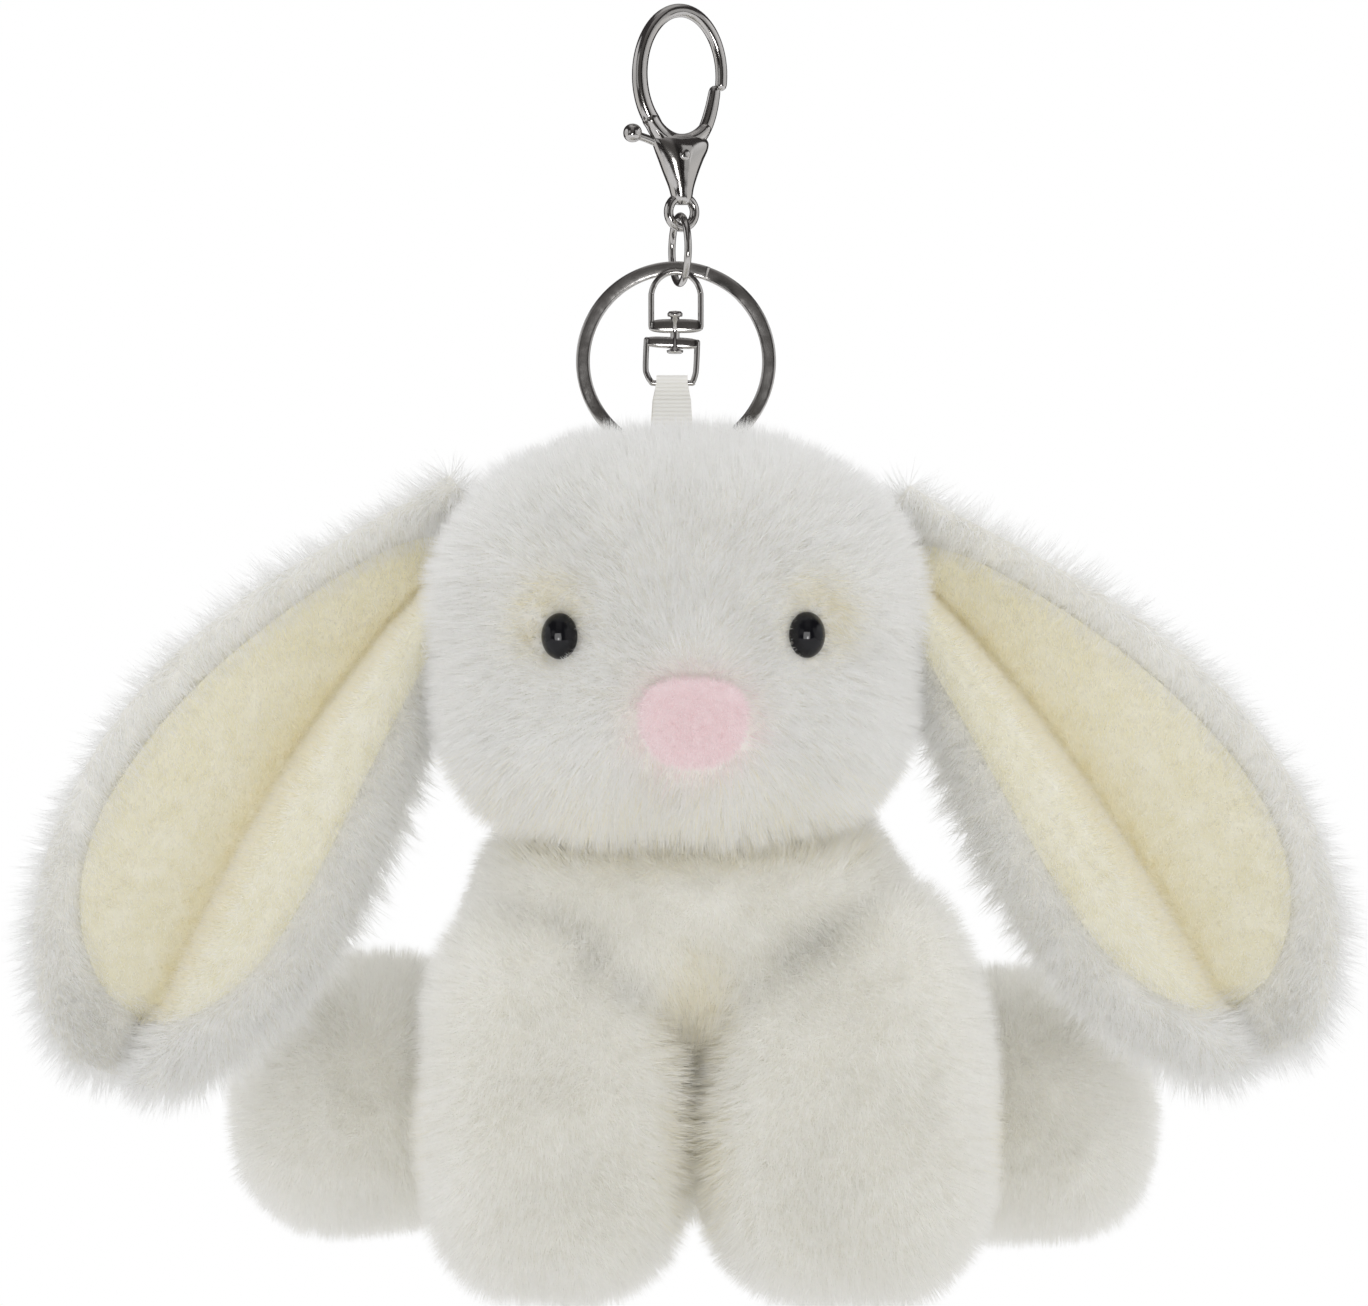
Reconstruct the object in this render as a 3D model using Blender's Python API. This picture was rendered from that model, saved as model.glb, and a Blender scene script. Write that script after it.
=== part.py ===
"""Plush bunny keychain: lobster clasp, jump ring, split ring, swivel, ribbon and a lop-eared plush.

Metres, +Z up, front towards -Y. The origin is the inner top of the clasp hook, where it hangs.
"""

import math

import bmesh
import bpy
from mathutils import Matrix, Vector

MM = 0.001

# Driving dimensions, in millimetres.
GAP = 0.3
CLASP_YAW = 22.0
HOOK_HALF_WIDTH = 6.6
HOOK_HALF_HEIGHT = 9.7
HOOK_WIRE = 1.15
CLASP_PIVOT = (0.6, -20.6)
CLASP_SLOT = 0.95
LEVER_HALF_THICKNESS = 0.6
PIN_RADIUS = 0.6
EYE_LOOP_CENTRE = (0.9, -29.1)
EYE_LOOP_WIRE = 0.7
JUMP_RING_RADIUS = 5.05
JUMP_RING_WIRE = 0.55
JUMP_RING_YAW = 14.0
KEY_RING_OUTER = 15.0
KEY_RING_BAND = 2.06
KEY_RING_STRIP = 0.72
KEY_RING_PITCH = 0.84
SWIVEL_WIDTH = 7.4
SWIVEL_WIRE = 0.43
SWIVEL_Y = -1.0
RIBBON_WIDTH = 4.7
RIBBON_THICKNESS = 0.45
PILE = 4.2
HEAD_CENTRE = (-0.15, -14.0, -93.4)
HEAD_HALF = (36.5, 28.5, 32.2)
BODY_CENTRE = (1.8, 22.0, -149.8)
BODY_HALF = (31.0, 20.2, 30.0)
EAR_THICKNESS = 8.0
EAR_HALF_WIDTH = 26.5
EYE_RADIUS = 3.6
NOSE_HALF = (8.4, 2.6, 6.8)
TAIL_RADIUS = 10.5


def clear_scene():
    for obj in list(bpy.data.objects):
        bpy.data.objects.remove(obj, do_unlink=True)


def new_collection(name, hidden):
    group = bpy.data.collections.new(name)
    bpy.context.scene.collection.children.link(group)
    group.hide_render = hidden
    return group


clear_scene()
OBJECT = new_collection("plush_keychain", False)
CUTTERS = new_collection("cutters", True)


def material(name, colour, metallic=0.0, roughness=0.6):
    made = bpy.data.materials.new(name)
    made.use_nodes = True
    shader = made.node_tree.nodes["Principled BSDF"]
    shader.inputs["Base Color"].default_value = (*colour, 1.0)
    shader.inputs["Metallic"].default_value = metallic
    shader.inputs["Roughness"].default_value = roughness
    made.diffuse_color = (*colour, 1.0)
    return made


METAL = (0.72, 0.71, 0.70)
FUR = (0.86, 0.85, 0.80)
CREAM = (0.86, 0.83, 0.72)
FILL = (0.92, 0.92, 0.92)


def solid(name, points, faces, look=None, smooth=True, sharp=40.0):
    """Object from points in millimetres and faces, turned outwards; without a look it is a cutter."""
    mesh = bpy.data.meshes.new(name)
    mesh.from_pydata([Vector(p) * MM for p in points], [], faces)
    shape = bmesh.new()
    shape.from_mesh(mesh)
    bmesh.ops.remove_doubles(shape, verts=shape.verts, dist=1e-7)
    bmesh.ops.recalc_face_normals(shape, faces=shape.faces)
    if shape.calc_volume(signed=True) < 0:
        bmesh.ops.reverse_faces(shape, faces=shape.faces)
    shape.to_mesh(mesh)
    shape.free()
    obj = bpy.data.objects.new(name, mesh)
    if look is None:
        CUTTERS.objects.link(obj)
        obj.display_type = "WIRE"
        obj.hide_render = True
        return obj
    OBJECT.objects.link(obj)
    mesh.materials.append(material(name, *look))
    if smooth:
        mesh.shade_smooth()
        mesh.set_sharp_from_angle(angle=math.radians(sharp))
    return obj


def loft(rings, closed=False):
    """Faces that join equal rings of points, with the two ends capped unless the loft is closed."""
    count = len(rings[0])
    points = [point for ring in rings for point in ring]
    faces = []
    last = len(rings) if closed else len(rings) - 1
    for row in range(last):
        low = row * count
        high = ((row + 1) % len(rings)) * count
        for k in range(count):
            n = (k + 1) % count
            faces.append((low + k, low + n, high + n, high + k))
    if not closed:
        faces.append(tuple(reversed(range(count))))
        faces.append(tuple(range((len(rings) - 1) * count, len(rings) * count)))
    return points, faces


def tube(name, path, radius, look, sides=12, closed=False, normal=(0, 1, 0), squash=1.0):
    """Round bar along a path in a plane with the given normal; radius is a number or one per point."""
    up = Vector(normal).normalized()
    path = [Vector(p) for p in path]
    rings = []
    for i, here in enumerate(path):
        if closed:
            ahead = path[(i + 1) % len(path)]
            behind = path[i - 1]
        else:
            ahead = path[min(i + 1, len(path) - 1)]
            behind = path[max(i - 1, 0)]
        along = (ahead - behind).normalized()
        side = along.cross(up).normalized()
        size = radius[i] if isinstance(radius, (list, tuple)) else radius
        ring = []
        for k in range(sides):
            turn = 2 * math.pi * k / sides
            ring.append(here + side * (size * math.cos(turn)) + up * (size * squash * math.sin(turn)))
        rings.append(ring)
    return solid(name, *loft(rings, closed), look)


def lathe(name, profile, look, segments=24, matrix=None):
    """Solid of revolution about local Z from (radius, height) pairs whose ends lie on the axis."""
    matrix = matrix or Matrix.Identity(4)
    points = []
    faces = []
    rows = []
    for radius, height in profile:
        if radius < 1e-6:
            rows.append([len(points)])
            points.append((0, 0, height))
            continue
        row = []
        for k in range(segments):
            turn = 2 * math.pi * k / segments
            row.append(len(points))
            points.append((radius * math.cos(turn), radius * math.sin(turn), height))
        rows.append(row)
    for low, high in zip(rows, rows[1:]):
        for k in range(segments):
            n = (k + 1) % segments
            corners = [low[k % len(low)], low[n % len(low)], high[n % len(high)], high[k % len(high)]]
            unique = list(dict.fromkeys(corners))
            if len(unique) > 2:
                faces.append(unique)
    return solid(name, [matrix @ Vector(p) for p in points], faces, look)


def cylinder(name, radius, start, end, look=None, segments=24):
    start = Vector(start)
    axis = Vector(end) - start
    turn = Vector((0, 0, 1)).rotation_difference(axis).to_matrix().to_4x4()
    profile = [(0, 0), (radius, 0), (radius, axis.length), (0, axis.length)]
    return lathe(name, profile, look, segments, Matrix.Translation(start) @ turn)


def cut(obj, *tools, operation="DIFFERENCE"):
    for tool in tools:
        step = obj.modifiers.new("cut", "BOOLEAN")
        step.operation = operation
        step.object = tool
        step.solver = "EXACT"
    return obj


def bake(obj):
    """Replaces the modifiers of an object by the mesh they make."""
    bpy.context.view_layer.update()
    graph = bpy.context.evaluated_depsgraph_get()
    made = bpy.data.meshes.new_from_object(obj.evaluated_get(graph))
    obj.modifiers.clear()
    obj.data = made
    return obj


def blob(name, centre, half, look=None, power=2.0, segments=28, rings=16, shape=None, turn=None):
    """Rounded solid: an ellipsoid, squarer as the power grows, reshaped by a function of its unit point."""
    points = []
    faces = []
    rows = []
    turn = turn or Matrix.Identity(3)
    for r in range(rings + 1):
        lat = math.pi * r / rings
        around = 1 if r in (0, rings) else segments
        row = []
        for k in range(around):
            lon = 2 * math.pi * k / segments
            d = Vector((math.sin(lat) * math.cos(lon), math.sin(lat) * math.sin(lon), math.cos(lat)))
            size = sum(abs(c) ** power for c in d) ** (-1.0 / power)
            p = d * size
            if shape:
                p = shape(p)
            row.append(len(points))
            points.append(Vector(centre) + turn @ Vector((p.x * half[0], p.y * half[1], p.z * half[2])))
        rows.append(row)
    for low, high in zip(rows, rows[1:]):
        for k in range(segments):
            n = (k + 1) % segments
            corners = [low[k % len(low)], low[n % len(low)], high[n % len(high)], high[k % len(high)]]
            unique = list(dict.fromkeys(corners))
            if len(unique) > 2:
                faces.append(unique)
    return solid(name, points, faces, look)


def less(half, amount):
    return tuple(h - amount for h in half)


def padded(name, centre, half, look, mouth, power=2.0, segments=28, rings=16, shape=None, turn=None):
    """Fur cover with a mouth at its seam, and the stuffing inside it."""
    cover = blob(f"{name}_cover", centre, half, look, power, segments, rings, shape, turn)
    hollow = blob(f"{name}_hollow", centre, less(half, PILE), None, power, segments, rings, shape, turn)
    cut(cover, hollow, mouth)
    inside = (max(12, segments - 8), max(7, rings - 5))
    stuffing = blob(
        f"{name}_stuffing", centre, less(half, PILE + 1.2), (FILL,), power, *inside, shape, turn
    )
    return cover, stuffing


# Lobster clasp. It is modelled flat in its own plane, then turned about Z.
TURN = Matrix.Rotation(math.radians(CLASP_YAW), 4, "Z")
px, pz = CLASP_PIVOT


def ellipse_point(angle, a, b, centre):
    turn = math.radians(angle)
    return (centre[0] + a * math.cos(turn), 0.0, centre[1] + b * math.sin(turn))


hook_centre = (0.75, HOOK_WIRE - HOOK_HALF_HEIGHT)
hook_path = []
hook_sizes = []
for i in range(31):
    part = i / 30
    angle = 222 - part * 230
    hook_path.append(ellipse_point(angle, HOOK_HALF_WIDTH, HOOK_HALF_HEIGHT, hook_centre))
    hook_sizes.append(HOOK_WIRE * (1.08 - 0.30 * part))
hook_path.insert(0, (-2.4, 0.0, -17.6))
hook_path.insert(0, (-0.4, 0.0, -20.2))
hook_sizes = [1.25, 1.3] + hook_sizes
clasp_body = tube("clasp_body", hook_path, hook_sizes, (METAL, 1.0, 0.18), sides=14)

shoulder = [
    (-16.9, 1.2, 3.2, 1.5),
    (-17.6, 1.1, 4.0, 2.0),
    (-19.2, 0.9, 4.1, 2.3),
    (-21.2, 0.6, 3.5, 2.3),
    (-23.4, 0.7, 2.6, 2.0),
    (-25.4, 0.85, 1.9, 1.7),
    (-27.0, 1.0, 1.5, 1.5),
]
rings = []
for z, x, wide, deep in shoulder:
    ring = []
    for k in range(20):
        a = 2 * math.pi * k / 20
        ring.append((x + wide * math.cos(a), deep * math.sin(a), z))
    rings.append(ring)
shoulder_tool = solid("clasp_shoulder", *loft(rings))
eye_path = [ellipse_point(15 * k, 2.1, 2.3, EYE_LOOP_CENTRE) for k in range(24)]
eye_tool = tube("clasp_eye", eye_path, EYE_LOOP_WIRE, None, sides=12, closed=True, squash=1.25)


def slot_reach(angle):
    """How far the lever slot reaches from the pivot: the gate's sector, the arm's edge, the spring's room."""
    if 8 <= angle <= 100:
        return 9.0
    if 100 < angle < 157:
        return min(9.0, max(1.8, 0.98 / math.sin(math.radians(157 - angle))))
    if 157 <= angle <= 192:
        return 9.0
    if 192 < angle <= 236:
        return 5.5
    return 1.8


outline = []
for k in range(180):
    angle = 2.0 * k
    reach = slot_reach(angle)
    turn = math.radians(angle)
    outline.append((px + reach * math.cos(turn), pz + reach * math.sin(turn)))
slot_rings = [[(x, y, z) for x, z in outline] for y in (-CLASP_SLOT, CLASP_SLOT)]
slot_tool = solid("clasp_slot", *loft(slot_rings))
pin_hole = cylinder("clasp_pin_hole", PIN_RADIUS + GAP, (px, -4, pz), (px, 4, pz))
cut(clasp_body, shoulder_tool, eye_tool, operation="UNION")
cut(clasp_body, slot_tool, pin_hole)
bake(clasp_body)

clasp_pivot_pin = cylinder(
    "clasp_pivot_pin", PIN_RADIUS, (px, -2.0, pz), (px, 2.0, pz), (METAL, 1.0, 0.3), 16
)

gate_path = [(3.2, 0, -18.6), (4.3, 0, -17.4), (5.1, 0, -15.6), (5.7, 0, -13.4), (6.05, 0, -11.9)]
gate_sizes = [0.8, 0.85, 0.95, 0.95, 0.75]
clasp_lever = tube("clasp_lever", gate_path, gate_sizes, (METAL, 1.0, 0.2), sides=12, squash=0.68)


def bar(name, start, end, half, depth):
    """Flat bar between two points of the clasp plane."""
    ahead = Vector((end[0] - start[0], end[1] - start[1])).normalized() * half
    corners = [
        (start[0] + ahead.y, start[1] - ahead.x),
        (end[0] + ahead.y, end[1] - ahead.x),
        (end[0] - ahead.y, end[1] + ahead.x),
        (start[0] - ahead.y, start[1] + ahead.x),
    ]
    return solid(name, *loft([[(x, y, z) for x, z in corners] for y in (-depth, depth)]))


boss = cylinder(
    "lever_boss", 1.45, (px, -LEVER_HALF_THICKNESS, pz), (px, LEVER_HALF_THICKNESS, pz)
)
arm = bar("lever_arm", (px - 0.3, pz + 0.1), (-6.2, -17.75), 0.62, LEVER_HALF_THICKNESS - 0.04)
stem = bar("lever_stem", (px + 0.3, pz + 0.2), (3.7, -18.1), 0.75, LEVER_HALF_THICKNESS - 0.08)
ball = blob("lever_ball", (-7.0, 0, -17.4), (1.3, 1.3, 1.3), None, 2.0, 16, 10)
lever_hole = cylinder("lever_hole", PIN_RADIUS + GAP, (px, -3, pz), (px, 3, pz))
cut(clasp_lever, boss, arm, stem, ball, operation="UNION")
cut(clasp_lever, lever_hole)
bake(clasp_lever)

spring_path = []
mid_angle = math.radians(204)
mid = Vector((px + 2.5 * math.cos(mid_angle), 0, pz + 2.5 * math.sin(mid_angle)))
along = Vector((-math.sin(mid_angle), 0, math.cos(mid_angle)))
across = Vector((math.cos(mid_angle), 0, math.sin(mid_angle)))
for k in range(37):
    a = 2 * math.pi * 3 * k / 36
    rise = along * (0.70 - 1.45 * k / 36)
    spring_path.append(mid + rise + across * (0.42 * math.cos(a)) + Vector((0, 0.42 * math.sin(a), 0)))
curve = bpy.data.curves.new("clasp_spring_path", "CURVE")
curve.dimensions = "3D"
spline = curve.splines.new("POLY")
spline.points.add(len(spring_path) - 1)
for point, place in zip(spline.points, spring_path):
    point.co = (*(place * MM), 1.0)
curve.bevel_depth = 0.1 * MM
curve.bevel_resolution = 1
curve.use_fill_caps = True
coil = bpy.data.objects.new("clasp_spring_coil", curve)
CUTTERS.objects.link(coil)
bpy.context.view_layer.update()
coil_mesh = bpy.data.meshes.new_from_object(coil.evaluated_get(bpy.context.evaluated_depsgraph_get()))
shape = bmesh.new()
shape.from_mesh(coil_mesh)
bmesh.ops.remove_doubles(shape, verts=shape.verts, dist=1e-8)
bmesh.ops.recalc_face_normals(shape, faces=shape.faces)
shape.to_mesh(coil_mesh)
shape.free()
bpy.data.objects.remove(coil, do_unlink=True)
clasp_spring = bpy.data.objects.new("clasp_spring", coil_mesh)
OBJECT.objects.link(clasp_spring)
coil_mesh.materials.append(material("clasp_spring", METAL, 1.0, 0.3))
coil_mesh.shade_smooth()

for obj in (clasp_body, clasp_pivot_pin, clasp_lever, clasp_spring):
    obj.data.transform(TURN)

# Jump ring, nearly edge-on, between the clasp eye and the two things that hang on it.
jump_x = 0.6
jump_z = EYE_LOOP_CENTRE[1] - 1.6 + GAP + 0.15 + JUMP_RING_WIRE - JUMP_RING_RADIUS
jump_turn = math.radians(JUMP_RING_YAW)
jump_path = []
for k in range(36):
    a = 2 * math.pi * k / 36
    reach = JUMP_RING_RADIUS * math.cos(a)
    height = jump_z + JUMP_RING_RADIUS * math.sin(a)
    jump_path.append((jump_x - reach * math.sin(jump_turn), reach * math.cos(jump_turn), height))
jump_normal = (math.cos(jump_turn), math.sin(jump_turn), 0)
tube("jump_ring", jump_path, JUMP_RING_WIRE, (METAL, 1.0, 0.2), 12, True, jump_normal)
jump_floor = jump_z - JUMP_RING_RADIUS + JUMP_RING_WIRE

# Split ring: a flat strip wound twice round, one turn behind the other.
key_y = 0.15 + KEY_RING_STRIP / 2
key_rise = 0.42
key_z = jump_floor + key_rise + GAP + KEY_RING_BAND - KEY_RING_OUTER
middle = KEY_RING_OUTER - KEY_RING_BAND / 2
step_arc = 26.0
total = 720.0 - step_arc
rings = []
stations = 84
for i in range(stations + 1):
    run = total * i / stations
    if run <= 360 - step_arc:
        depth = 0.0
    elif run >= 360:
        depth = 1.0
    else:
        part = (run - 360 + step_arc) / step_arc
        depth = part * part * (3 - 2 * part)
    a = math.radians(70.0 + run)
    out = Vector((math.cos(a), 0, math.sin(a)))
    centre = Vector((0, key_y + depth * KEY_RING_PITCH, key_z)) + out * middle
    band = KEY_RING_BAND / 2
    strip = KEY_RING_STRIP / 2
    ease = 0.18
    section = [
        (-band, -strip + ease),
        (-band + ease, -strip),
        (band - ease, -strip),
        (band, -strip + ease),
        (band, strip - ease),
        (band - ease, strip),
        (-band + ease, strip),
        (-band, strip - ease),
    ]
    rings.append([centre + out * u + Vector((0, v, 0)) for u, v in section])
solid("key_ring", *loft(rings), (METAL, 1.0, 0.22), sharp=30.0)

# Swivel: two wire loops with flat bars, joined by a rivet.
swivel_top = jump_floor + 0.40 + GAP + 2 * SWIVEL_WIRE
upper_x = 0.0
half = SWIVEL_WIDTH / 2
bar_top = -45.2
bar_bottom = -47.3
path = []
for k in range(13):
    a = math.pi * k / 12
    path.append((upper_x + half * math.cos(a), SWIVEL_Y, swivel_top - SWIVEL_WIRE - half + half * math.sin(a)))
path.append((upper_x - half, SWIVEL_Y, -46.6))
path.insert(0, (upper_x + half, SWIVEL_Y, -46.6))
swivel_upper = tube("swivel_upper_loop", path, SWIVEL_WIRE, (METAL, 1.0, 0.2), 10)


def plate(name, x0, x1, y0, y1, z0, z1, slant=0.0):
    corners = [(x0, z0 + slant), (x1, z0 - slant), (x1, z1 - slant), (x0, z1 + slant)]
    return solid(name, *loft([[(x, y, z) for x, z in corners] for y in (y0, y1)]))


upper_bar = plate(
    "upper_bar", upper_x - half - 0.4, upper_x + half + 0.4, SWIVEL_Y - 0.5, SWIVEL_Y + 0.5, bar_bottom, bar_top
)
rivet_x = -0.15
upper_boss = cylinder("upper_boss", 1.5, (rivet_x, SWIVEL_Y, bar_bottom), (rivet_x, SWIVEL_Y, bar_top))
upper_hole = cylinder("upper_hole", 0.95, (rivet_x, SWIVEL_Y, -50), (rivet_x, SWIVEL_Y, -42))
cut(swivel_upper, upper_bar, upper_boss, operation="UNION")
cut(swivel_upper, upper_hole)
bake(swivel_upper)

lower_x = -0.7
lower_top = bar_bottom - 0.5
lower_bar_low = lower_top - 1.7
loop_floor = -54.8
lean = 0.6
path = [
    (lower_x - half, SWIVEL_Y, lower_top - 0.5),
    (lower_x - half - 0.15, SWIVEL_Y, -52.4),
    (lower_x - half + 0.1, SWIVEL_Y, -53.6),
    (lower_x - half + 0.7, SWIVEL_Y, loop_floor + 0.15),
    (lower_x - half + 1.2, SWIVEL_Y, loop_floor),
    (lower_x + half - 1.1, SWIVEL_Y, loop_floor),
    (lower_x + half - 0.6, SWIVEL_Y, loop_floor + 0.15),
    (lower_x + half - 0.1, SWIVEL_Y, -53.5),
    (lower_x + half + 0.05, SWIVEL_Y, -52.2),
    (lower_x + half + 0.25, SWIVEL_Y, lower_top - 0.9),
]
swivel_lower = tube("swivel_lower_loop", path, SWIVEL_WIRE, (METAL, 1.0, 0.2), 10)
lower_bar = plate(
    "lower_bar", lower_x - half - 0.4, lower_x + half + 0.6, SWIVEL_Y - 0.5, SWIVEL_Y + 0.5,
    lower_bar_low, lower_top - 0.25, 0.22
)
lower_boss = cylinder("lower_boss", 1.5, (rivet_x, SWIVEL_Y, lower_bar_low), (rivet_x, SWIVEL_Y, lower_top))
lower_hole = cylinder("lower_hole", 0.95, (rivet_x, SWIVEL_Y, -52), (rivet_x, SWIVEL_Y, -46))
cut(swivel_lower, lower_bar, lower_boss, operation="UNION")
cut(swivel_lower, lower_hole)
bake(swivel_lower)
rivet_profile = [
    (0, lower_bar_low - 0.9),
    (1.15, lower_bar_low - 0.9),
    (1.25, lower_bar_low - 0.35),
    (0.65, lower_bar_low - 0.34),
    (0.65, bar_top + 0.34),
    (1.1, bar_top + 0.35),
    (1.05, bar_top + 1.1),
    (0, bar_top + 1.2),
]
lathe("swivel_rivet", rivet_profile, (METAL, 1.0, 0.25), 20, Matrix.Translation((rivet_x, SWIVEL_Y, 0)))

# Ribbon loop over the lower bar of the swivel, its two tails going down into the head.
ribbon_x = lower_x + 0.1
bend = SWIVEL_WIRE + GAP + RIBBON_THICKNESS / 2
strip = [(-5.6, -69.0), (-5.3, -66.0), (SWIVEL_Y - bend - 0.25, -57.5)]
for k in range(9):
    a = math.pi * k / 8
    strip.append((SWIVEL_Y - bend * math.cos(a), loop_floor + bend * math.sin(a)))
strip += [(SWIVEL_Y + bend - 0.45, -57.5), (-3.6, -66.0), (-4.0, -69.0)]
rings = []
for i, (y, z) in enumerate(strip):
    ahead = Vector(strip[min(i + 1, len(strip) - 1)]) - Vector(strip[max(i - 1, 0)])
    ahead.normalize()
    side = Vector((ahead.y, -ahead.x)) * (RIBBON_THICKNESS / 2)
    spread = 0.5 * min(1.0, max(0.0, (-55.0 - z) / 5.0))
    wide = RIBBON_WIDTH / 2 + spread * 1.8
    shift = -spread * 0.5 if i > 7 else spread * 0.2
    rings.append(
        [
            (ribbon_x + shift - wide, y - side.x, z - side.y),
            (ribbon_x + shift - wide, y + side.x, z + side.y),
            (ribbon_x + shift + wide, y + side.x, z + side.y),
            (ribbon_x + shift + wide, y - side.x, z - side.y),
        ]
    )
solid("ribbon_loop", *loft(rings), (CREAM, 0.0, 0.8))


# Head, with eyes on washers and a nose patch let into the fur.
def head_shape(p):
    cheek = 1.0 + 0.13 * max(0.0, -p.z) ** 2
    muzzle = 0.10 * math.exp(-((p.x / 0.35) ** 2) - (((p.z + 0.25) / 0.4) ** 2)) if p.y < 0 else 0.0
    nape = min(1.0, max(0.0, (p.y + 0.15) / 0.65)) if p.z > 0 else 0.0
    return Vector((p.x * cheek, p.y * (1.0 + muzzle), p.z * (1.0 - 0.13 * nape * nape * (3 - 2 * nape))))


hx, hy, hz = HEAD_CENTRE
bx, by, bz = BODY_CENTRE
neck = Vector((1.0, -0.3, -122.7))
neck_way = Vector((0.03, 0.42, -0.9)).normalized()
head_mouth = cylinder("head_mouth", 7.5, neck - neck_way * 8, neck + neck_way * 7)
head_cover, head_stuffing = padded(
    "head", HEAD_CENTRE, HEAD_HALF, (FUR, 0.0, 0.9), head_mouth, 2.25, 30, 17, head_shape
)
ribbon_slot = plate(
    "ribbon_slot", ribbon_x - 4.1, ribbon_x + 3.9, -6.8, -2.6, -70.0, -56.0
)
cut(head_cover, ribbon_slot)
cut(head_stuffing, ribbon_slot)


def on_head(x, z):
    """Depth of the head's front at a point, and the direction it faces."""
    u = abs(x - hx) / HEAD_HALF[0]
    w = abs(z - hz) / HEAD_HALF[2]
    power = 2.25
    v = (1 - u**power - w**power) ** (1 / power)
    facing = Vector(
        (
            math.copysign(u ** (power - 1) / HEAD_HALF[0], x - hx),
            -(v ** (power - 1)) / HEAD_HALF[1],
            math.copysign(w ** (power - 1) / HEAD_HALF[2], z - hz),
        )
    )
    return hy - HEAD_HALF[1] * v, facing.normalized()


eye_places = {"left": (-16.8, -92.6), "right": (19.05, -92.6)}
for side, (x, z) in eye_places.items():
    y, facing = on_head(x, z)
    facing = (facing * 0.55 + Vector((0, -1, 0)) * 0.45).normalized()
    turn = Vector((0, 0, 1)).rotation_difference(facing).to_matrix().to_4x4()
    seat = Matrix.Translation(Vector((x, y, z)) - facing * 0.9) @ turn
    profile = [
        (0, -8.4),
        (1.1, -8.4),
        (1.1, 0.0),
        (EYE_RADIUS, 0.0),
        (EYE_RADIUS, 0.7),
        (EYE_RADIUS * 0.93, 1.6),
        (EYE_RADIUS * 0.72, 2.5),
        (EYE_RADIUS * 0.4, 3.05),
        (0, 3.25),
    ]
    lathe(f"eye_{side}", profile, ((0.005, 0.005, 0.006), 0.0, 0.05), 20, seat)
    washer = [(1.4, -6.2), (4.5, -6.2), (4.5, -5.1), (1.4, -5.1)]
    rings = []
    for radius, height in washer:
        ring = []
        for k in range(20):
            a = 2 * math.pi * k / 20
            ring.append(seat @ Vector((radius * math.cos(a), radius * math.sin(a), height)))
        rings.append(ring)
    solid(f"eye_washer_{side}", *loft(rings, True), ((0.9, 0.9, 0.88), 0.0, 0.5))
    dish = cylinder(f"eye_dish_{side}", EYE_RADIUS + GAP, seat @ Vector((0, 0, -GAP)), seat @ Vector((0, 0, 8)))
    bore = cylinder(f"eye_bore_{side}", 1.1 + GAP, seat @ Vector((0, 0, -7.2)), seat @ Vector((0, 0, 2)), None, 16)
    pocket = cylinder(f"eye_pocket_{side}", 4.5 + GAP, seat @ Vector((0, 0, -9.0)), seat @ Vector((0, 0, 4)))
    washer_room = cylinder(
        f"eye_washer_room_{side}", 4.5 + GAP, seat @ Vector((0, 0, -12.0)), seat @ Vector((0, 0, -5.1 + GAP))
    )
    cut(head_cover, dish, bore, washer_room)
    cut(head_stuffing, pocket)

nose_x, nose_z = 2.55, -105.4
nose_y, facing = on_head(nose_x, nose_z)
nose_y = nose_y - 2.3
tilt = Matrix.Rotation(math.radians(14), 3, "X")


def nose_shape(p):
    return Vector((p.x * (1.0 + 0.10 * p.z), p.y, p.z))


nose_at = (nose_x, nose_y, nose_z)
blob("nose_patch", nose_at, NOSE_HALF, ((0.78, 0.52, 0.54), 0.0, 0.9), 2.5, 28, 14, nose_shape, tilt)
nose_room = blob(
    "nose_room", nose_at, tuple(h + GAP + 0.1 for h in NOSE_HALF), None, 2.5, 28, 14, nose_shape, tilt
)
cut(head_cover, nose_room)
bake(head_cover)
bake(head_stuffing)


# Body.
def body_shape(p):
    slim = 1.0 - 0.14 * max(0.0, p.z)
    return Vector((p.x * slim, p.y * slim - 0.5 * max(0.0, p.z), p.z))


body_mouth = cylinder("body_mouth", 7.5, neck - neck_way * 6, neck + neck_way * 12)
body_cover, body_stuffing = padded(
    "body", BODY_CENTRE, BODY_HALF, (FUR, 0.0, 0.9), body_mouth, 3.0, 24, 13, body_shape
)
bake(body_cover)

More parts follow.
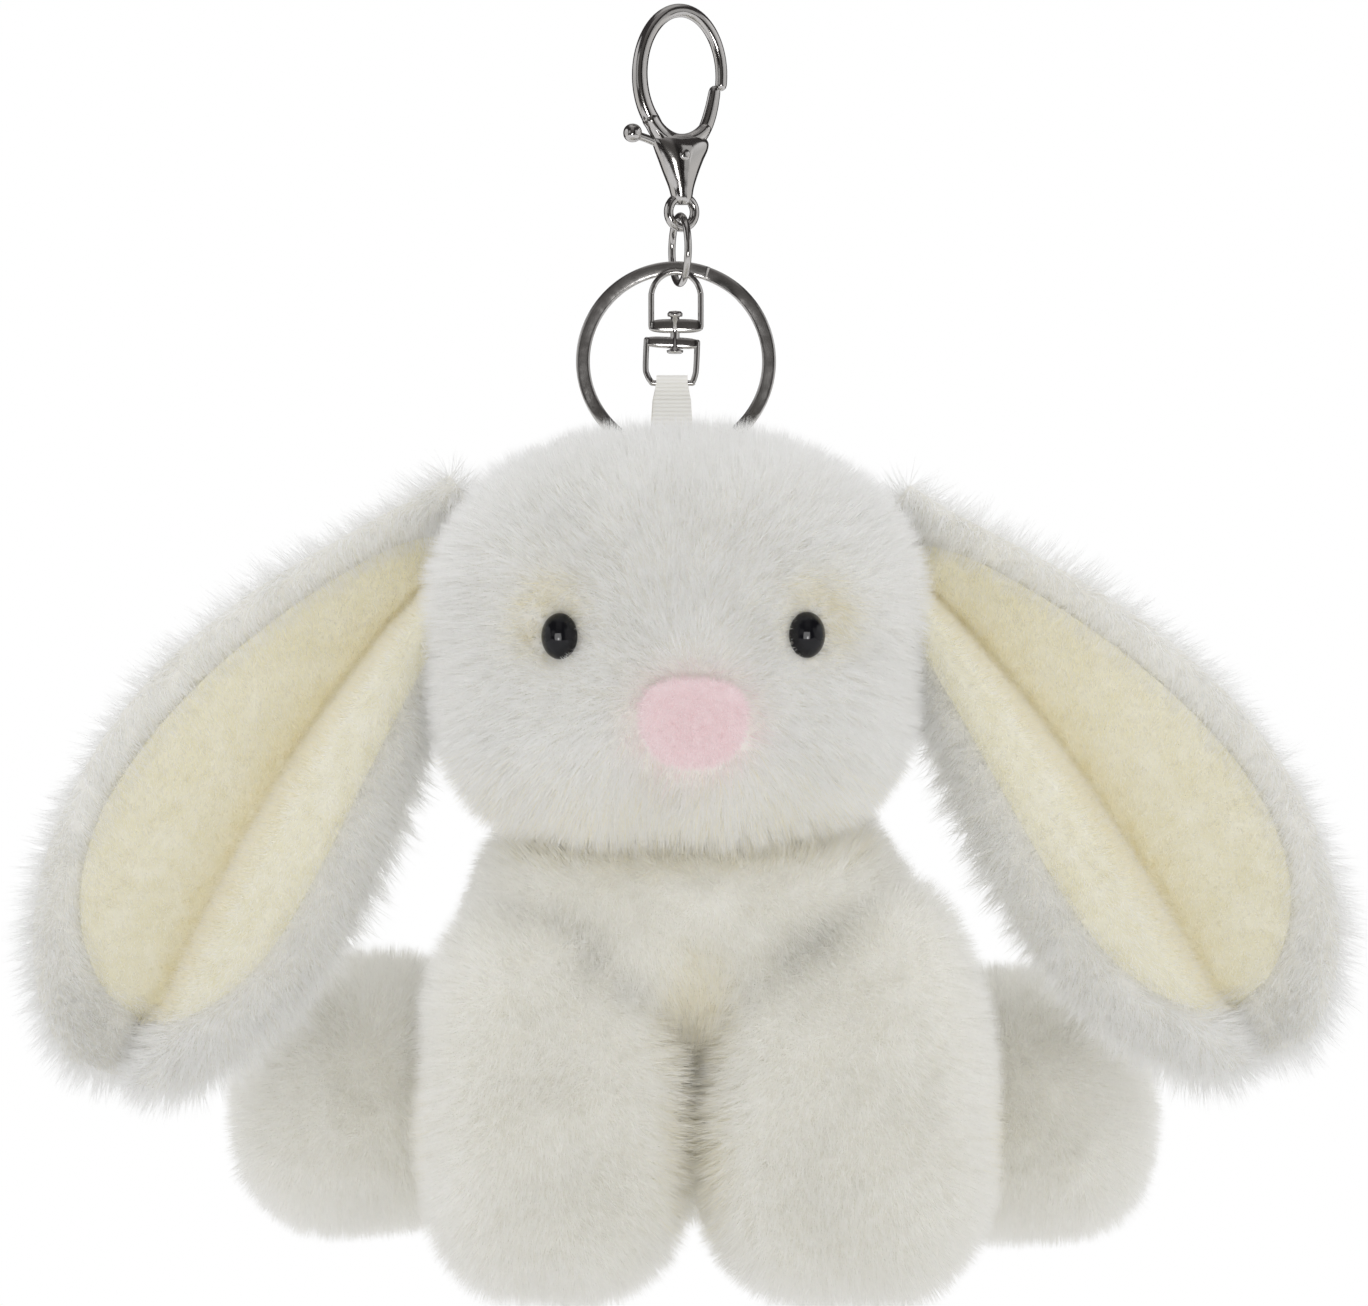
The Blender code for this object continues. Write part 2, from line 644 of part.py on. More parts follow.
# Front and hind legs and the tail: name, centre, half sizes, taper, lean, seam point, seam direction.
LEGS = (
    ("front_leg_left", (-18.4, -13.0, -159.2), (21.2, 16.0, 32.8), 0.26, 0.16, (-10, 4, -146), (3, 9, 4)),
    ("front_leg_right", (26.4, -13.0, -159.2), (23.9, 16.0, 32.8), 0.24, -0.16, (17, 4, -146), (-3, 9, 4)),
    ("hind_leg_left", (-47.2, 19.0, -161.7), (19.0, 22.0, 20.3), 0.04, 0.0, (-27.5, 19, -157), (9, 1, 2)),
    ("hind_leg_right", (52.9, 21.0, -163.3), (19.0, 22.0, 19.6), 0.04, 0.0, (32.5, 19, -157), (-9, 1, 2)),
)
for name, centre, size, taper, lean, seam, way in LEGS:

    def leg_shape(p, taper=taper, lean=lean):
        slim = 1.0 - taper * (p.z + 0.2)
        return Vector((p.x * slim + lean * (p.z - 0.2), p.y * slim, p.z))

    way = Vector(way).normalized()
    at = Vector(seam)
    mouth = cylinder(f"{name}_mouth", 5.5, at - way * 12, at + way * 14)
    cover, stuffing = padded(name, centre, size, (FUR, 0.0, 0.9), mouth, 2.15, 20, 12, leg_shape)
    bake(cover)

tail_at = (bx, by + BODY_HALF[1] + TAIL_RADIUS, bz - 9.0)
tail_mouth = cylinder("tail_mouth", 4.0, (bx, tail_at[1] - 14, tail_at[2]), (bx, tail_at[1] - 3, tail_at[2]))
tail_cover, tail_stuffing = padded(
    "tail", tail_at, (TAIL_RADIUS,) * 3, (FUR, 0.0, 0.9), tail_mouth, 2.0, 16, 10
)
bake(tail_cover)


# Ears: a cupped leaf along a bent line, open side to the front, with the lining laid in the cup.
def bezier(points, t):
    a, b, c, d = (Vector(p) for p in points)
    s = 1 - t
    return a * s**3 + b * (3 * s * s * t) + c * (3 * s * t * t) + d * t**3


def ear_width(t):
    """Share of the full half width: narrow at the root, widest at two thirds, round at the tip."""
    grow = min(1.0, t / 0.70)
    swell = 0.40 + 0.60 * grow * grow * (3 - 2 * grow)
    tip = max(0.0, (t - 0.70) / 0.30)
    return swell * math.sqrt(max(0.0, 1.0 - tip**2.3))


def ear_rings(line, width, thick, back, cup, share, lift, start, stop, count, lining):
    rings = []
    for i in range(count):
        t = start + (stop - start) * (0.5 - 0.5 * math.cos(math.pi * i / (count - 1)))
        here = bezier(line, t)
        ahead = (bezier(line, min(1, t + 0.01)) - bezier(line, max(0, t - 0.01))).normalized()
        side = Vector((-ahead.z, 0, ahead.x))
        full = width * ear_width(t)
        fat = thick * (ear_width(t) ** 0.7)
        wide = full * share
        ring = []
        for k in range(18):
            a = 2 * math.pi * k / 18
            u = math.cos(a)
            s = math.sin(a)
            offset = u * wide / full
            bow = -cup * offset * offset * (ear_width(t))
            if not lining:
                v = bow + (fat * s if s > 0 else fat * 0.45 * s)
            else:
                floor = bow - fat * 0.45 * math.sqrt(max(0.0, 1 - offset * offset)) - lift
                v = floor - 1.3 * (0.5 - 0.5 * s) * math.sqrt(max(0.0, 1 - u * u)) - 0.15 * (1 - s)
            ring.append(here + side * (u * wide) + Vector((0, back + v, 0)))
        rings.append(ring)
    return rings


EARS = {
    "left": [(-27.0, 0, -75.0), (-45.5, 0, -89.5), (-69.5, 0, -115.0), (-83.5, 0, -160.5)],
    "right": [(28.0, 0, -76.5), (46.2, 0, -90.8), (71.2, 0, -116.0), (88.0, 0, -157.5)],
}
ear_trim = blob("ear_trim", HEAD_CENTRE, less(HEAD_HALF, -0.8), None, 2.25, 40, 24, head_shape)
for side, line in EARS.items():
    rings = ear_rings(line, EAR_HALF_WIDTH, EAR_THICKNESS, -7.5, 8.0, 1.0, 0.0, 0.03, 0.985, 17, False)
    ear = solid(f"ear_{side}_outer", *loft(rings), (FUR, 0.0, 0.9), sharp=60.0)
    bake(cut(ear, ear_trim))
    rings = ear_rings(line, EAR_HALF_WIDTH, EAR_THICKNESS, -7.5, 8.0, 0.80, 0.4, 0.12, 0.90, 14, True)
    lining = solid(f"ear_{side}_lining", *loft(rings), (CREAM, 0.0, 0.9), sharp=60.0)
    bake(cut(lining, ear_trim))
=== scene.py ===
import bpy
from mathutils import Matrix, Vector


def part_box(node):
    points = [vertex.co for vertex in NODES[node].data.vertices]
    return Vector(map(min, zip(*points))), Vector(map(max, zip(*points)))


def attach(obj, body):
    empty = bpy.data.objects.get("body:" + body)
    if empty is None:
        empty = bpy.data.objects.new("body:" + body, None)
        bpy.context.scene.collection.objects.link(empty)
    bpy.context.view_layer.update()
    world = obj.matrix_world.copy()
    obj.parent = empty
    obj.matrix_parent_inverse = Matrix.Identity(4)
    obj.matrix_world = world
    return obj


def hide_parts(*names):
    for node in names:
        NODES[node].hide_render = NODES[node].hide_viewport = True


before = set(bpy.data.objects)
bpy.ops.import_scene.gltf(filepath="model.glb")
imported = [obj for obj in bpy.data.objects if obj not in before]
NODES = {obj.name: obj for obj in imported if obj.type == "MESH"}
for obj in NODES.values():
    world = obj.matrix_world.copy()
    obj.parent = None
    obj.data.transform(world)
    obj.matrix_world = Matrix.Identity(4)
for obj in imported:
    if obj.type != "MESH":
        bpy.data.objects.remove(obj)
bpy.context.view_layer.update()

import math

import bmesh
import bpy
import numpy as np
from mathutils import Matrix, Vector
from mathutils.kdtree import KDTree

MM = 0.001                              # shapes are worked out in millimetres, the scene is in metres
THIN = 1.0
RING = 48                               # points round a turned shape


# ---------------------------------------------------------------- materials
def new_material(name):
    made = bpy.data.materials.new(name)
    made.use_nodes = True
    return made, made.node_tree, made.node_tree.nodes["Principled BSDF"]


def plain(name, colour, roughness=0.6, **sockets):
    made, _, shader = new_material(name)
    shader.inputs["Base Color"].default_value = (*colour, 1.0)
    shader.inputs["Roughness"].default_value = roughness
    for key, value in sockets.items():
        shader.inputs[key.replace("_", " ")].default_value = value
    return made


def noise_node(tree, scale, detail=3.0, rough=0.6):
    where = tree.nodes.new("ShaderNodeTexCoord")
    node = tree.nodes.new("ShaderNodeTexNoise")
    node.inputs["Scale"].default_value = scale
    node.inputs["Detail"].default_value = detail
    node.inputs["Roughness"].default_value = rough
    tree.links.new(where.outputs["Object"], node.inputs["Vector"])
    return node


def ramp_node(tree, source, stops):
    node = tree.nodes.new("ShaderNodeValToRGB")
    ramp = node.color_ramp
    ramp.elements[0].position, ramp.elements[0].color = stops[0][0], (*stops[0][1], 1)
    ramp.elements[1].position, ramp.elements[1].color = stops[-1][0], (*stops[-1][1], 1)
    for place, colour in stops[1:-1]:
        extra = ramp.elements.new(place)
        extra.color = (*colour, 1)
    tree.links.new(source, node.inputs["Fac"])
    return node


def span_node(tree, source, low, high):
    """Stretches a value from 0..1 to low..high."""
    span = tree.nodes.new("ShaderNodeMapRange")
    span.inputs["To Min"].default_value = low
    span.inputs["To Max"].default_value = high
    tree.links.new(source, span.inputs["Value"])
    return span.outputs["Result"]


def bump_node(tree, shader, source, strength, distance):
    node = tree.nodes.new("ShaderNodeBump")
    node.inputs["Strength"].default_value = strength
    node.inputs["Distance"].default_value = distance
    tree.links.new(source, node.inputs["Height"])
    tree.links.new(node.outputs["Normal"], shader.inputs["Normal"])
    return node


def backing(name, low, high, scale=260.0):
    """Knitted backing under the pile: mottled colour and a fine grain."""
    made, tree, shader = new_material(name)
    cloud = noise_node(tree, scale)
    colour = ramp_node(tree, cloud.outputs["Fac"], [(0.35, low), (0.65, high)])
    tree.links.new(colour.outputs["Color"], shader.inputs["Base Color"])
    shader.inputs["Roughness"].default_value = 0.95
    grain = noise_node(tree, 2600.0, 2.0)
    bump_node(tree, shader, grain.outputs["Fac"], 0.5, 0.0003)
    return made


def metal(name, colour=(0.56, 0.545, 0.53), rough=0.11):
    """Nickel plate, faintly uneven."""
    made, tree, shader = new_material(name)
    shader.inputs["Base Color"].default_value = (*colour, 1.0)
    shader.inputs["Metallic"].default_value = 1.0
    cloud = noise_node(tree, 420.0, 4.0)
    uneven = span_node(tree, cloud.outputs["Fac"], rough * 0.7, rough * 1.7)
    tree.links.new(uneven, shader.inputs["Roughness"])
    ripple = noise_node(tree, 300.0, 2.0)
    bump_node(tree, shader, ripple.outputs["Fac"], 0.12, 0.0004)
    return made


# ---------------------------------------------------------------- shapes
def grid_mesh(name, rows, caps=True):
    """Mesh from rows of equal numbers of points, closed round each row."""
    rows = np.asarray(rows, float)
    count_v, count_u = rows.shape[:2]
    faces = []
    for v in range(count_v - 1):
        here, above = v * count_u, (v + 1) * count_u
        for u in range(count_u):
            n = (u + 1) % count_u
            faces.append((here + u, here + n, above + n, above + u))
    if caps:
        faces.append(tuple(reversed(range(count_u))))
        faces.append(tuple(range((count_v - 1) * count_u, count_v * count_u)))
    return mesh_object(name, rows.reshape(-1, 3), faces)


def mesh_object(name, points, faces):
    """Smooth-shaded mesh object, its doubled points merged and its faces turned outwards."""
    mesh = bpy.data.meshes.new(name)
    mesh.from_pydata([tuple(p) for p in points], [], faces)
    shape = bmesh.new()
    shape.from_mesh(mesh)
    bmesh.ops.remove_doubles(shape, verts=shape.verts, dist=1e-7)
    bmesh.ops.recalc_face_normals(shape, faces=shape.faces)
    shape.to_mesh(mesh)
    shape.free()
    mesh.shade_smooth()
    obj = bpy.data.objects.new(name, mesh)
    bpy.context.scene.collection.objects.link(obj)
    return obj


WAVES = 7


def lumps(points, size, scale, seed):
    """Soft uneven bulges: the height at each point, from a few crossed waves."""
    rng = np.random.default_rng(seed)
    total = np.zeros(len(points))
    for _ in range(WAVES):
        way = rng.normal(size=3)
        way /= np.linalg.norm(way)
        waves = points @ way * (2 * math.pi / scale) * rng.uniform(0.7, 1.5)
        total += np.sin(waves + rng.uniform(0, 6.28))
    return size * total / WAVES ** 0.5


def even_turn(count):
    """Angles once round a circle."""
    return np.linspace(0, 2 * math.pi, count, endpoint=False)


def blob_points(centre, half, power, shape=None, across=72, up=48):
    """Rows of points on a superellipsoid; shape bends it before it is sized and placed."""
    lat = np.linspace(0, math.pi, up + 1)
    lon = np.linspace(0, 2 * math.pi, across, endpoint=False)
    lat, lon = np.meshgrid(lat, lon, indexing="ij")
    d = np.stack([np.sin(lat) * np.cos(lon), np.sin(lat) * np.sin(lon), np.cos(lat)], -1)
    size = (np.abs(d) ** power).sum(-1) ** (-1.0 / power)
    p = d * size[..., None]
    if shape:
        p = shape(p)
    return np.asarray(centre) + p * np.asarray(half)


def placed(rows, turn, shift):
    """Rows of points, turned about the origin and then moved."""
    flat = rows.reshape(-1, 3) @ np.array(turn).T + np.array(shift)
    return flat.reshape(rows.shape)


SWELL = 1.4             # most that stuffing moves a point, mm
VOXEL = 2.6             # mm
SETTLE_FRAMES = 20
STUFFED = []            # skins that are waiting to be stuffed


def stuff(objects):
    """Swells the skins like stuffed cloth, each point by no more than SWELL millimetres, and smooths them."""
    before = {}
    for obj in objects:
        bpy.context.view_layer.objects.active = obj
        remesh = obj.modifiers.new("remesh", "REMESH")
        remesh.mode = "VOXEL"
        remesh.voxel_size = VOXEL * MM
        apply_modifiers(obj)
        before[obj] = [v.co.copy() for v in obj.data.vertices]
        cloth = obj.modifiers.new("cloth", "CLOTH")
        cloth.settings.quality = 4
        cloth.settings.mass = 0.002
        cloth.settings.tension_stiffness = 6
        cloth.settings.compression_stiffness = 6
        cloth.settings.bending_stiffness = 0.6
        cloth.settings.use_pressure = True
        cloth.settings.uniform_pressure_force = 4
        cloth.settings.effector_weights.gravity = 0
        cloth.collision_settings.use_collision = False
    for frame_number in range(1, SETTLE_FRAMES + 1):
        bpy.context.scene.frame_set(frame_number)
    for obj in objects:
        apply_modifiers(obj)
        for vertex, was in zip(obj.data.vertices, before[obj]):
            move = vertex.co - was
            far = SWELL * MM
            if move.length > far:
                vertex.co = was + move * (far / move.length)
        obj.data.shade_smooth()
    bpy.context.scene.frame_set(1)


def apply_modifiers(obj):
    """Puts the modified mesh in place of the object's own."""
    graph = bpy.context.evaluated_depsgraph_get()
    made = bpy.data.meshes.new_from_object(obj.evaluated_get(graph))
    obj.modifiers.clear()
    obj.data = made


def skin(name, centre, half, power, shape, seed, look, body, replaced, lump=0.5):
    """Stuffed skin of one padded part, in millimetres, with soft lumps."""
    rows = blob_points(centre, half, power, shape)
    flat = rows.reshape(-1, 3)
    out = flat - np.asarray(centre)
    out /= np.linalg.norm(out, axis=1, keepdims=True) + 1e-9
    flat = flat + out * lumps(flat, lump, 17.0, seed)[:, None]
    obj = grid_mesh(name, flat.reshape(rows.shape) * MM, caps=False)
    obj.data.materials.append(look)
    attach(obj, body)
    if replaced:
        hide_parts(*replaced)
    STUFFED.append(obj)
    return obj


# ---------------------------------------------------------------- fur
def surface_samples(obj, density, rng, keep=None):
    """Random points on a mesh, density per square centimetre: positions and smooth normals in millimetres."""
    mesh = obj.data
    mesh.calc_loop_triangles()
    count = len(mesh.vertices)
    co = np.empty(count * 3, np.float32)
    mesh.vertices.foreach_get("co", co)
    co = co.reshape(-1, 3).astype(float) / MM
    no = np.empty(count * 3, np.float32)
    mesh.vertices.foreach_get("normal", no)
    no = no.reshape(-1, 3).astype(float)
    tri = np.empty(len(mesh.loop_triangles) * 3, np.int32)
    mesh.loop_triangles.foreach_get("vertices", tri)
    tri = tri.reshape(-1, 3)
    a, b, c = co[tri[:, 0]], co[tri[:, 1]], co[tri[:, 2]]
    area = np.linalg.norm(np.cross(b - a, c - a), axis=1) / 2
    total = int(area.sum() / 100 * density * THIN)
    pick = np.searchsorted(np.cumsum(area) / area.sum(), rng.random(total))
    pick = np.clip(pick, 0, len(tri) - 1)
    r = np.sqrt(rng.random(total))[:, None]
    s = rng.random(total)[:, None]
    wa, wb, wc = 1 - r, r * (1 - s), r * s
    t = tri[pick]
    pos = co[t[:, 0]] * wa + co[t[:, 1]] * wb + co[t[:, 2]] * wc
    nor = no[t[:, 0]] * wa + no[t[:, 1]] * wb + no[t[:, 2]] * wc
    nor /= np.linalg.norm(nor, axis=1, keepdims=True) + 1e-9
    if keep is not None:
        good = keep(pos, nor)
        pos, nor = pos[good], nor[good]
    return pos, nor


def unit(v):
    """Vectors at length one."""
    return v / (np.linalg.norm(v, axis=-1, keepdims=True) + 1e-9)


def swirl(points, scale, seed):
    """Smooth direction field: one slow wandering vector per point."""
    return np.stack([lumps(points, 1.0, scale, seed + k) for k in range(3)], -1)


STRANDS_PER_PIECE = 190000
ROOT_DEPTH = 0.3        # how far a strand starts below the skin, mm


def strand_object(name, blades_at, tints, looks, body):
    """One piece that holds a block of strands, each a triangle from two root points to its tip."""
    count = len(blades_at)
    mesh = bpy.data.meshes.new(name)
    mesh.vertices.add(count * 3)
    mesh.vertices.foreach_set("co", (blades_at.reshape(-1) * MM).astype(np.float32))
    mesh.loops.add(count * 3)
    mesh.loops.foreach_set("vertex_index", np.arange(count * 3, dtype=np.int32))
    mesh.polygons.add(count)
    mesh.polygons.foreach_set("loop_start", np.arange(0, count * 3, 3, dtype=np.int32))
    mesh.polygons.foreach_set("loop_total", np.full(count, 3, dtype=np.int32))
    mesh.polygons.foreach_set("material_index", tints.astype(np.int32))
    mesh.update()
    for look in looks:
        mesh.materials.append(look)
    strands = bpy.data.objects.new(name, mesh)
    bpy.context.scene.collection.objects.link(strands)
    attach(strands, body)


def blades(name, obj, body, density, length, looks, seed, comb=None, lean=0.3, wild=0.2, width=0.13,
           clump=2.0, pull=0.4, keep=None, trim=None, tint_of=None):
    """Pile as real strands on a skin: tapered blades whose tips gather into small tufts."""
    rng = np.random.default_rng(seed)
    pos, nor = surface_samples(obj, density, rng, keep)
    n = len(pos)
    way = nor + rng.normal(size=(n, 3)) * wild + swirl(pos, 26.0, seed + 50) * 0.16
    if comb is not None:
        flow = comb(pos, nor)
        flow = flow - nor * (flow * nor).sum(1, keepdims=True)
        way = way + flow * lean
    way = unit(way)
    size = length * rng.uniform(0.72, 1.1, n) * (1 + 0.07 * lumps(pos, 1.0, 14.0, seed + 90))
    if trim is not None:
        size = size * trim(pos)
    step = max(1, int(density * THIN * clump * clump / 100))
    leads = np.arange(0, n, step)
    tree = KDTree(len(leads))
    for k, i in enumerate(leads):
        tree.insert(pos[i], k)
    tree.balance()
    lead = leads[np.array([tree.find(p)[1] for p in pos])]
    tip_own = pos + way * size[:, None]
    tip_lead = pos[lead] + way[lead] * (size[lead] * 1.04)[:, None]
    draw = pull * rng.uniform(0.3, 1.2, n)[:, None]
    tip = pos + unit(tip_own * (1 - draw) + tip_lead * draw - pos) * size[:, None]
    side = unit(np.cross(way, rng.normal(size=(n, 3))))
    w = width * rng.uniform(0.7, 1.3, n)[:, None] / (THIN ** 0.5)
    root = pos - nor * ROOT_DEPTH
    v = np.stack([root - side * w / 2, root + side * w / 2, tip], 1)
    tints = rng.integers(0, len(looks), n) if tint_of is None else tint_of(pos, rng)
    for part, start in enumerate(range(0, n, STRANDS_PER_PIECE)):
        block = slice(start, start + STRANDS_PER_PIECE)
        strand_object(f"{name}_{part}", v[block], tints[block], looks, body)


UNDERFUR = 380          # strands per square centimetre
COAT = 1150


def fur(name, obj, body, length, looks, seed, comb=None, lean=0.3, keep=None, trim=None, tint_of=None):
    """Plush: a thin, short, wilder underfur and a dense top coat."""
    under = CREAM_PILE if looks is CREAM_TINTS else WHITE_PILE
    blades(f"{name}_under", obj, body, UNDERFUR, length * 0.62, under, seed + 1, comb, lean * 0.6, wild=0.3,
           width=0.16, keep=keep, trim=trim)
    blades(f"{name}_coat", obj, body, COAT, length, looks, seed, comb, lean, keep=keep, trim=trim,
           tint_of=tint_of)


def pile(name, colours):
    """Materials for strands that differ a little, one for each colour."""
    return [
        plain(f"{name}_{k}", colour, 0.85, Specular_IOR_Level=0.2, Sheen_Weight=0.25)
        for k, colour in enumerate(colours)
    ]


WHITE_PILE = pile("white_pile", [(0.945, 0.942, 0.93), (0.955, 0.955, 0.948), (0.962, 0.963, 0.96)])
CREAM_PILE = pile("cream_pile", [(0.975, 0.970, 0.948), (0.979, 0.976, 0.958), (0.982, 0.980, 0.966)])
LINING_PILE = pile("lining_pile", [(0.952, 0.940, 0.885), (0.957, 0.947, 0.903), (0.962, 0.954, 0.918)])
# warm pile colours that stand for painted shade: the warm cast in the dents over the eyes, under the chin and
# in the ear's crease
SHADE_WARM_PILE = pile("shade_warm_pile", [(0.955, 0.92, 0.78), (0.96, 0.93, 0.82)])
# warm pile colours that stand for painted shade in the creases between the body parts
CREASE_SHADE_PILE = pile("crease_shade_pile", [(0.976, 0.955, 0.87), (0.979, 0.962, 0.90)])
CREAM_TINTS = CREAM_PILE + CREASE_SHADE_PILE
PINK_PILE = pile("pink_pile", [(0.95, 0.86, 0.865), (0.955, 0.885, 0.89)])
WHITE_BACK = backing("white_backing", (0.90, 0.885, 0.83), (0.94, 0.93, 0.89))
CREAM_BACK = backing("cream_backing", (0.955, 0.945, 0.90), (0.97, 0.965, 0.94))
LINING_BACK = backing("lining_backing", (0.90, 0.87, 0.70), (0.94, 0.92, 0.80))


def down(pos, nor):
    """Pile brushed straight down."""
    return np.tile([0.0, 0.0, -1.0], (len(pos), 1))


# ---------------------------------------------------------------- head
HEAD = np.array([-0.15, -14.0, -93.4])
HEAD_HALF = np.array([33.2, 25.8, 28.9])
HEAD_POWER = 2.5
EYES = [(-16.8, -92.8), (19.0, -92.6)]      # x and z
NOSE = (2.55, -105.4)
MUZZLE = 0.16                               # how much the muzzle deepens the head


def muzzle_bulge(x, z):
    return MUZZLE * np.exp(-((x - 0.06) / 0.42) ** 2 - ((z + 0.34) / 0.38) ** 2)


def head_shape(p):
    """Cheeks full below, muzzle forward, a dent at each eye and a nape that falls away."""
    p = p.copy()
    x, y, z = p[..., 0], p[..., 1], p[..., 2]
    cheek = 1.0 + 0.16 * np.maximum(0, -z) ** 2 + 0.04 * np.sin(math.pi * np.clip(z, 0, 1))
    muzzle = np.where(y < 0, muzzle_bulge(x, z), 0.0)
    socket = np.zeros_like(x)
    for ex, ez in EYES:
        u = (ex - HEAD[0]) / HEAD_HALF[0]
        w = (ez - HEAD[2]) / HEAD_HALF[2]
        socket += np.where(y < 0, -0.055 * np.exp(-((x - u) / 0.17) ** 2 - ((z - w) / 0.17) ** 2), 0.0)
    nape = np.clip((y + 0.15) / 0.65, 0, 1)
    nape = np.where(z > 0, nape * nape * (3 - 2 * nape), 0.0)
    p[..., 0] = x * cheek
    p[..., 1] = y * (1.0 + muzzle + socket)
    p[..., 2] = z * (1 - 0.13 * nape)
    return p


head_skin = skin(
    "head_skin", HEAD, HEAD_HALF, HEAD_POWER, head_shape, 11, WHITE_BACK, "head",
    ["head_cover", "head_stuffing"], lump=0.4,
)


def head_front(x, z):
    """The head skin's y at a point of its front."""
    u = (x - HEAD[0]) / HEAD_HALF[0]
    w = (z - HEAD[2]) / HEAD_HALF[2]
    v = (1 - abs(u) ** HEAD_POWER - abs(w) ** HEAD_POWER) ** (1 / HEAD_POWER)
    return HEAD[1] - HEAD_HALF[1] * v * (1 + muzzle_bulge(u, w))


def head_comb(pos, nor):
    """The pile is brushed away from the nose and up off the face, and falls at the sides."""
    out = pos - np.array([NOSE[0], -46.0, NOSE[1]])
    out = unit(out * np.array([1.0, 0.3, 1.0]))
    side = np.clip(np.abs(pos[:, :1] - HEAD[0]) / 34.0, 0, 1)
    return out * (1 - 0.6 * side) + np.array([0, 0, -0.9]) * side


def ellipse_gap(pos, x, z, a, b):
    """How far a point is from the middle of an ellipse seen from the front: 1 on its edge."""
    return np.sqrt(((pos[:, 0] - x) / a) ** 2 + ((pos[:, 2] - z) / b) ** 2)


def head_keep(pos, nor):
    """No pile under the eyes and the nose."""
    front = nor[:, 1] < 0
    good = np.ones(len(pos), bool)
    for ex, ez in EYES:
        good &= ~(front & (ellipse_gap(pos, ex, ez, 2.5, 3.2) < 1))
    good &= ~(front & (ellipse_gap(pos, NOSE[0], NOSE[1], 7.6, 6.0) < 1))
    return good


def head_trim(pos):
    """Pile clipped short round the eyes and the nose."""
    size = np.ones(len(pos))
    front = pos[:, 1] < HEAD[1]
    for ex, ez in EYES:
        gap = ellipse_gap(pos, ex, ez, 2.8, 3.4)
        size = np.where(front, size * np.clip(0.34 + (gap - 1) * 0.50, 0.34, 1.0), size)
    gap = ellipse_gap(pos, NOSE[0], NOSE[1], 8.2, 6.6)
    size = np.where(front, size * np.clip(0.38 + (gap - 0.95) * 1.1, 0.38, 1.0), size)
    return size


HEAD_TINTS = WHITE_PILE + SHADE_WARM_PILE + PINK_PILE


def head_tint(pos, rng):
    """White, with painted warm shade over the eyes and under the chin and a little pink at the nose's edge.
    """
    n = len(pos)
    front = pos[:, 1] < HEAD[1] - 8
    tint = rng.integers(0, len(WHITE_PILE), n)
    # painted warm shade in the dent above and outside each eye
    for k, (ex, ez) in enumerate(EYES):
        out = -1.4 if k == 0 else 1.4
        gap = ellipse_gap(pos, ex + out, ez + 2.4, 5.6, 6.4)
        chance = np.where(front, np.clip(0.75 * (1.25 - gap), 0, 0.6), 0)
        tint = np.where(rng.random(n) < chance, len(WHITE_PILE) + rng.integers(0, 2, n), tint)
    # painted warm shade under the chin, growing towards the bottom of the head
    chance = 0.28 * np.clip((-108.0 - pos[:, 2]) / 14.0, 0, 1)
    tint = np.where(rng.random(n) < chance, len(WHITE_PILE) + rng.integers(0, 2, n), tint)
    gap = ellipse_gap(pos, NOSE[0], NOSE[1], 8.2, 7.0)
    chance = np.where(front, np.clip(1.1 * (1.35 - gap), 0, 0.5), 0)
    tint = np.where(rng.random(n) < chance, len(WHITE_PILE) + len(SHADE_WARM_PILE) + rng.integers(0, 2, n), tint)
    return tint


# ---------------------------------------------------------------- body, legs, tail
def body_shape(p):
    """Leans forward towards the neck."""
    p = p.copy()
    slim = 1.0 - 0.02 * np.maximum(0, p[..., 2])
    p[..., 0] = p[..., 0] * slim
    p[..., 1] = p[..., 1] * slim - 0.42 * np.maximum(0, p[..., 2])
    return p


def leg_shape(taper):
    """A leg that is slimmer above by the given share."""
    def change(p):
        p = p.copy()
        slim = 1.0 - taper * (p[..., 2] + 0.2)
        p[..., 0] = p[..., 0] * slim
        p[..., 1] = p[..., 1] * slim
        return p
    return change


# name, centre, half size, power, shape, body
PARTS = (
    ("body", (1.6, 21.0, -147.0), (31.0, 18.8, 30.6), 3.4, body_shape, "body"),
    ("front_leg_left", (-17.8, -13.0, -159.8), (17.2, 13.0, 29.0), 3.0, leg_shape(0.08), "front_leg_left"),
    ("front_leg_right", (25.2, -13.0, -159.8), (19.4, 13.0, 29.0), 3.0, leg_shape(0.08), "front_leg_right"),
    ("hind_leg_left", (-47.8, 19.0, -162.2), (16.4, 18.4, 17.8), 2.9, leg_shape(0.03), "hind_leg_left"),
    ("hind_leg_right", (52.8, 21.0, -163.8), (16.8, 18.4, 17.4), 2.9, leg_shape(0.03), "hind_leg_right"),
    ("tail", (2.4, 49.6, -158.8), (8.0, 8.6, 8.0), 2.0, None, "body"),
)
FURRED = []
for k, (name, centre, half, power, shape, body) in enumerate(PARTS):
    made = skin(
        f"{name}_skin", centre, half, power, shape, 31 + k, CREAM_BACK, body,
        [f"{name}_cover", f"{name}_stuffing"],
    )
    FURRED.append((name, made, body))


def chest_shape(p):
    """Chest that is drawn in between the front legs."""
    p = p.copy()
    low = np.clip(-p[..., 2], 0, 1)
    middle = np.exp(-(p[..., 0] / 0.22) ** 2)
    p[..., 1] = p[..., 1] + 0.45 * low ** 1.5 * middle + 0.25 * low ** 2
    return p


chest = skin(
    "chest_skin", (2.6, -8.5, -138.0), (30.4, 15.4, 17.5), 2.9, chest_shape, 45, CREAM_BACK, "body", []
)
FURRED.append(("chest", chest, "body"))
stuff(STUFFED)

